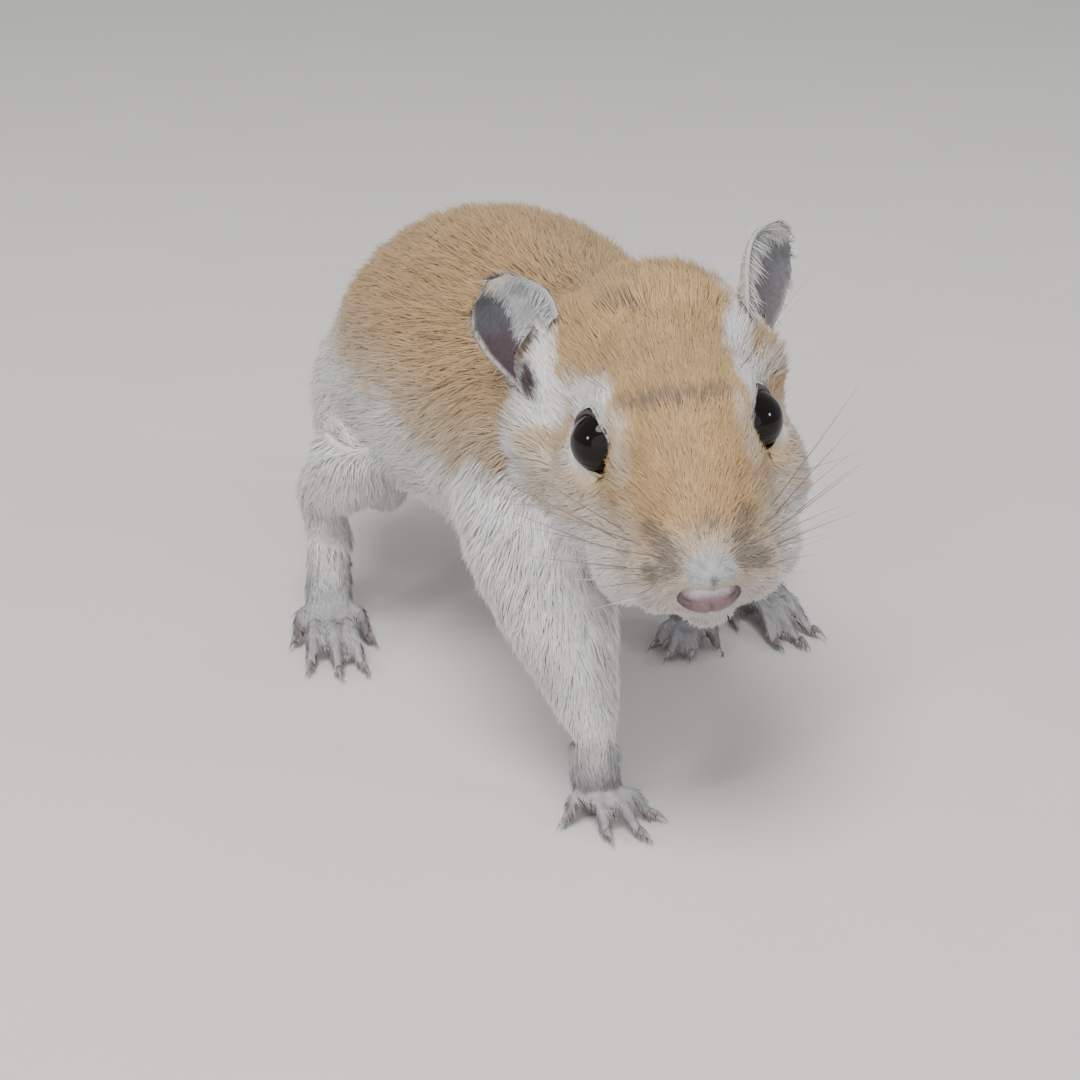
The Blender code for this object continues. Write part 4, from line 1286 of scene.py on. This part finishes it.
class GERBIL_OT_nose(bpy.types.Operator):
    """Model the bare nose pad with its two nostrils and the cleft between them"""

    bl_idname = "gerbil.nose"
    bl_label = "Nose"

    def execute(self, context):
        deselect()
        bpy.ops.mesh.primitive_uv_sphere_add(
            segments=128, ring_count=96, radius=1, location=(0, 0, 0), rotation=(math.radians(90), 0, 0)
        )
        nose = take_primitive("nose")
        x, y, z = vertex_array(nose.data).T.copy()
        side = np.abs(x)
        front = smoothstep(0.2, -0.5, y)
        pit = np.exp(-(((side - 0.72) / 0.15) ** 2 + ((z - 0.30 - 0.5 * (side - 0.72)) / 0.12) ** 2))
        wing = np.exp(-(((side - 0.66) / 0.26) ** 2 + ((z - 0.40) / 0.20) ** 2))
        cleft = np.exp(-((x / 0.07) ** 2)) * smoothstep(0.35, -0.2, z)
        y = y + front * (0.15 * pit + 0.11 * cleft - 0.08 * wing)
        z = z * (1 - 0.16 * side**2) - 0.12 * smoothstep(0.3, 0.9, side) * (z > 0)
        set_vertices(nose.data, packed_points(np.stack([x, y, z], axis=1) * np.array(NOSE_RADII) + NOSE_AT))
        bpy.ops.object.shade_smooth()

        mauve = np.array(context.scene.gerbil_skin.mauve)
        colours = mix(np.tile(mauve, (len(x), 1)), mauve * 0.45, smoothstep(0.35, 0.95, side))
        colours = mix(colours, NOSE_TOP, smoothstep(0.25, 0.75, z) * 0.8)
        # The nostrils' pits and the cleft are painted dark, as painted shade in these hollows.
        store_colours(nose.data, mix(colours, NOSTRIL_SHADE, np.clip(pit * 0.5 + cleft * 0.35, 0, 1) * front))
        nose.data.materials.append(self.material())
        finish_piece(nose, "skin")
        return {"FINISHED"}

    def material(self):
        shader = Shader("nose_skin", 0.45)
        grain = shader.remap(shader.noise(3600, 4), 0.3, 0.7, 0.8, 1.2)
        shader.colour(shader.shade(shader.attribute(COAT), grain))
        shader.bump(shader.noise(5200, 2), 0.5, 0.06 * MM)
        return shader.material


class GERBIL_OT_claws(bpy.types.Operator):
    """Put a curved claw on each toe"""

    bl_idname = "gerbil.claws"
    bl_label = "Claws"

    def execute(self, context):
        horn = self.horn()
        for side in (RIGHT, LEFT):
            self.foot("claws_fore", side, FORE_FEET[side], FINGERS, FINGER_RADIUS, FINGER_CLAW, horn)
            self.foot("claws_hind", side, HIND_FEET[side], TOES, TOE_RADIUS, TOE_CLAW, horn)
        return {"FINISHED"}

    def foot(self, name, side, foot, toes, radius, length, material):
        """The claws of one foot, joined."""
        claws = []
        for across, splay, reach, back in toes:
            turn = foot.turn - side * math.radians(splay * foot.spread)
            ahead = Vector((math.sin(turn), -math.cos(turn), 0))
            start = Matrix.Rotation(foot.turn, 3, "Z") @ Vector((-side * across, back, 0))
            tip = Vector((*foot.ball, 0)) + start + ahead * reach
            tip.z = radius * 0.76 + 0.3
            claws.append(self.claw(tip - ahead * 0.5, ahead, length))
        joined = join(claws, f"{name}_{SIDE_NAMES[side]}")
        bpy.ops.object.shade_smooth()
        joined.data.materials.append(material)
        finish_piece(joined, "claw")

    def claw(self, root, ahead, length):
        """A cone that curves down to its point."""
        deselect()
        bpy.ops.mesh.primitive_cone_add(
            vertices=12, radius1=CLAW_RADIUS, radius2=0.02, depth=length, location=(0, 0, length / 2)
        )
        claw = take_primitive("claw")
        cut_across(claw, [length * step / 5 for step in range(1, 5)])
        points = vertex_array(claw.data)
        share = points[:, 2] / length
        side = Vector((0, 0, 1)).cross(ahead)
        across = points[:, 0] * 0.8
        rise = points[:, 1] * 1.15 + 0.45 * np.sin(share * 1.6) - 0.95 * share**2
        placed = (
            np.array(root)
            + share[:, None] * length * np.array(ahead)
            + across[:, None] * np.array(side)
            + rise[:, None] * np.array((0, 0, 1.0))
        )
        placed[:, 2] = np.maximum(placed[:, 2], 0.03)
        set_vertices(claw.data, placed * MM + np.array(ORIGIN))
        return claw

    def horn(self):
        shader = Shader("claw_horn", 0.35)
        pale = shader.remap(shader.noise(1500, 2), 0.35, 0.7, 0, 1)
        shader.colour(shader.blend(HORN_DARK, HORN_PALE, pale))
        return shader.material


class GERBIL_OT_whiskers(bpy.types.Operator):
    """Set the whiskers on the pads and the feelers above and behind the eyes"""

    bl_idname = "gerbil.whiskers"
    bl_label = "Whiskers"

    def execute(self, context):
        rng = np.random.default_rng(context.scene.gerbil_coat.seed + 5)
        deselect()
        bpy.ops.mesh.primitive_cone_add(vertices=5, radius1=1, radius2=0.15, depth=1, location=(0, 0, 0.5))
        single = take_primitive("whisker")
        cut_across(single, [step / WHISKER_STEPS for step in range(1, WHISKER_STEPS)])
        made = []
        for side in (RIGHT, LEFT):
            for row in range(WHISKER_ROWS):
                made.extend(self.row(single, side, row, rng))
            mirror = np.array((side, 1, 1))
            for root, aim, length in FEELERS:
                made.append(self.hair(single, mirror * root, mirror * aim, length, FEELER_RADIUS, True, rng))
        bpy.data.objects.remove(single)
        whiskers = join(made, "whiskers")
        bpy.ops.object.shade_smooth()
        shader = Shader("whisker_hair", 0.35)
        shader.colour(shader.attribute(COAT))
        whiskers.data.materials.append(shader.material)
        finish_piece(whiskers, "coat")
        return {"FINISHED"}

    def row(self, single, side, row, rng):
        """One row of a pad's whiskers, longer and further back towards the cheek. The lowest are pale."""
        made = []
        for column in range(WHISKER_COLUMNS):
            share = column / (WHISKER_COLUMNS - 1)
            root = (side * (4.2 + 1.7 * share), -14.9 + 4.4 * share, -3.4 - 1.25 * row - 0.3 * share)
            length = (9 + 11 * share) * rng.uniform(0.8, 1.15) * (1.0 - 0.08 * row)
            rise = 0.22 - 0.16 * row + rng.normal(0, 0.05)
            aim = (side * (1.0 - 0.15 * share), 0.25 + 0.75 * share, rise)
            dark = row < WHISKER_ROWS - 1
            made.append(self.hair(single, root, aim, length, WHISKER_RADIUS, dark, rng))
        return made

    def hair(self, single, root, aim, length, radius, dark, rng):
        """A copy of the single hair, bent down and back as it leaves the face."""
        hair = add_object("whisker_copy", single.data.copy())
        aim = Vector(aim).normalized()
        across = np.array(aim.cross(Vector((0, 0, 1))).normalized())
        upward = np.cross(across, np.array(aim))
        points = vertex_array(hair.data)
        share = points[:, 2]
        droop = length * rng.uniform(0.05, 0.16) * share**2
        back = length * rng.uniform(0.0, 0.12) * share**2
        placed = (
            np.array(root)
            + np.array(aim) * (share * length - 0.4)[:, None]
            + across * (points[:, 0] * radius)[:, None]
            + upward * (points[:, 1] * radius)[:, None]
            + np.array((0, 0.6, -1.0)) * droop[:, None]
            + np.array((0, 1.0, 0)) * back[:, None]
        )
        set_vertices(hair.data, packed_points(placed))
        base = np.tile(WHISKER_DARK if dark else WHISKER_PALE, (len(points), 1))
        store_colours(hair.data, mix(base, WHISKER_TIP, share * 0.5))
        return hair


class GERBIL_OT_stage(bpy.types.Operator):
    """Lay the pale floor, hang the soft lights and set the camera where the photograph was taken"""

    bl_idname = "gerbil.stage"
    bl_label = "Stage"

    def execute(self, context):
        settings = context.scene.gerbil_stage
        self.floor(settings)
        world = bpy.data.worlds.new("soft_room")
        world.use_nodes = True
        background = world.node_tree.nodes["Background"]
        background.inputs["Color"].default_value = (*SKY_COLOUR, 1)
        background.inputs["Strength"].default_value = settings.world
        context.scene.world = world
        for name, at, size, power, colour in (
            ("key", (-160, -260, 640), 0.4, settings.key, (1.0, 0.98, 0.95)),
            ("front", (-260, -740, 160), 1.0, settings.front, (1.0, 0.99, 0.97)),
            ("glint_right", (-560, -200, 300), 0.1, settings.glint, (0.95, 0.97, 1.0)),
            ("glint_left", (500, -440, 320), 0.1, settings.glint, (0.95, 0.97, 1.0)),
        ):
            self.light(name, at, size, power, colour)

        data = bpy.data.cameras.new("camera")
        data.lens = CAMERA_LENS
        data.sensor_width = CAMERA_SENSOR
        data.clip_start = 0.01
        camera = add_object("camera", data)
        camera.location = place(CAMERA_AT)
        camera.rotation_euler = (math.radians(90) - CAMERA_DOWN, 0, CAMERA_AZIMUTH)
        context.scene.camera = camera
        return {"FINISHED"}

    def floor(self, settings):
        deselect()
        bpy.ops.mesh.primitive_plane_add(size=settings.floor_size, location=(0, 0, 0))
        floor = take_primitive("floor")
        shader = Shader("floor_matt", 0.85)
        speckle = shader.remap(shader.noise(30, 2), 0.3, 0.7, 0.0, 1.0)
        shader.colour(shader.blend(settings.floor, [part * 0.97 for part in settings.floor], speckle))
        floor.data.materials.append(shader.material)

    def light(self, name, at, size, power, colour):
        """A round soft light that looks at the animal."""
        data = bpy.data.lights.new(name, "AREA")
        data.shape = "DISK"
        data.size = size
        data.energy = power
        data.color = colour
        lamp = add_object(name, data)
        lamp.location = place(at)
        aim = place(LIGHTS_AIM) - lamp.location
        lamp.rotation_euler = aim.to_track_quat("-Z", "Y").to_euler()


class GERBIL_PT_panel(bpy.types.Panel):
    """The pieces of the gerbil"""

    bl_label = "Gerbil"
    bl_idname = "GERBIL_PT_panel"
    bl_space_type = "VIEW_3D"
    bl_region_type = "UI"
    bl_category = "Gerbil"

    def draw(self, context):
        for name in SETTINGS:
            settings = getattr(context.scene, name)
            box = self.layout.box()
            for value in settings.__annotations__:
                box.prop(settings, value)
        for operator in OPERATORS:
            self.layout.operator(operator.bl_idname)


OPERATORS = (
    GERBIL_OT_stage, GERBIL_OT_skin, GERBIL_OT_coat, GERBIL_OT_eyes, GERBIL_OT_nose, GERBIL_OT_claws,
    GERBIL_OT_whiskers,
)
SETTINGS = {"gerbil_coat": CoatSettings, "gerbil_skin": SkinSettings, "gerbil_stage": StageSettings}


def register():
    for settings in SETTINGS.values():
        bpy.utils.register_class(settings)
    for name, settings in SETTINGS.items():
        setattr(bpy.types.Scene, name, bpy.props.PointerProperty(type=settings))
    for operator in OPERATORS:
        bpy.utils.register_class(operator)
    bpy.utils.register_class(GERBIL_PT_panel)


def unregister():
    bpy.utils.unregister_class(GERBIL_PT_panel)
    for operator in reversed(OPERATORS):
        bpy.utils.unregister_class(operator)
    for name, settings in SETTINGS.items():
        delattr(bpy.types.Scene, name)
        bpy.utils.unregister_class(settings)


def main():
    register()
    bpy.ops.gerbil.stage()
    bpy.ops.gerbil.skin()
    bpy.ops.gerbil.coat()
    bpy.ops.gerbil.eyes()
    bpy.ops.gerbil.nose()
    bpy.ops.gerbil.claws()
    bpy.ops.gerbil.whiskers()


if __name__ == "__main__":
    main()
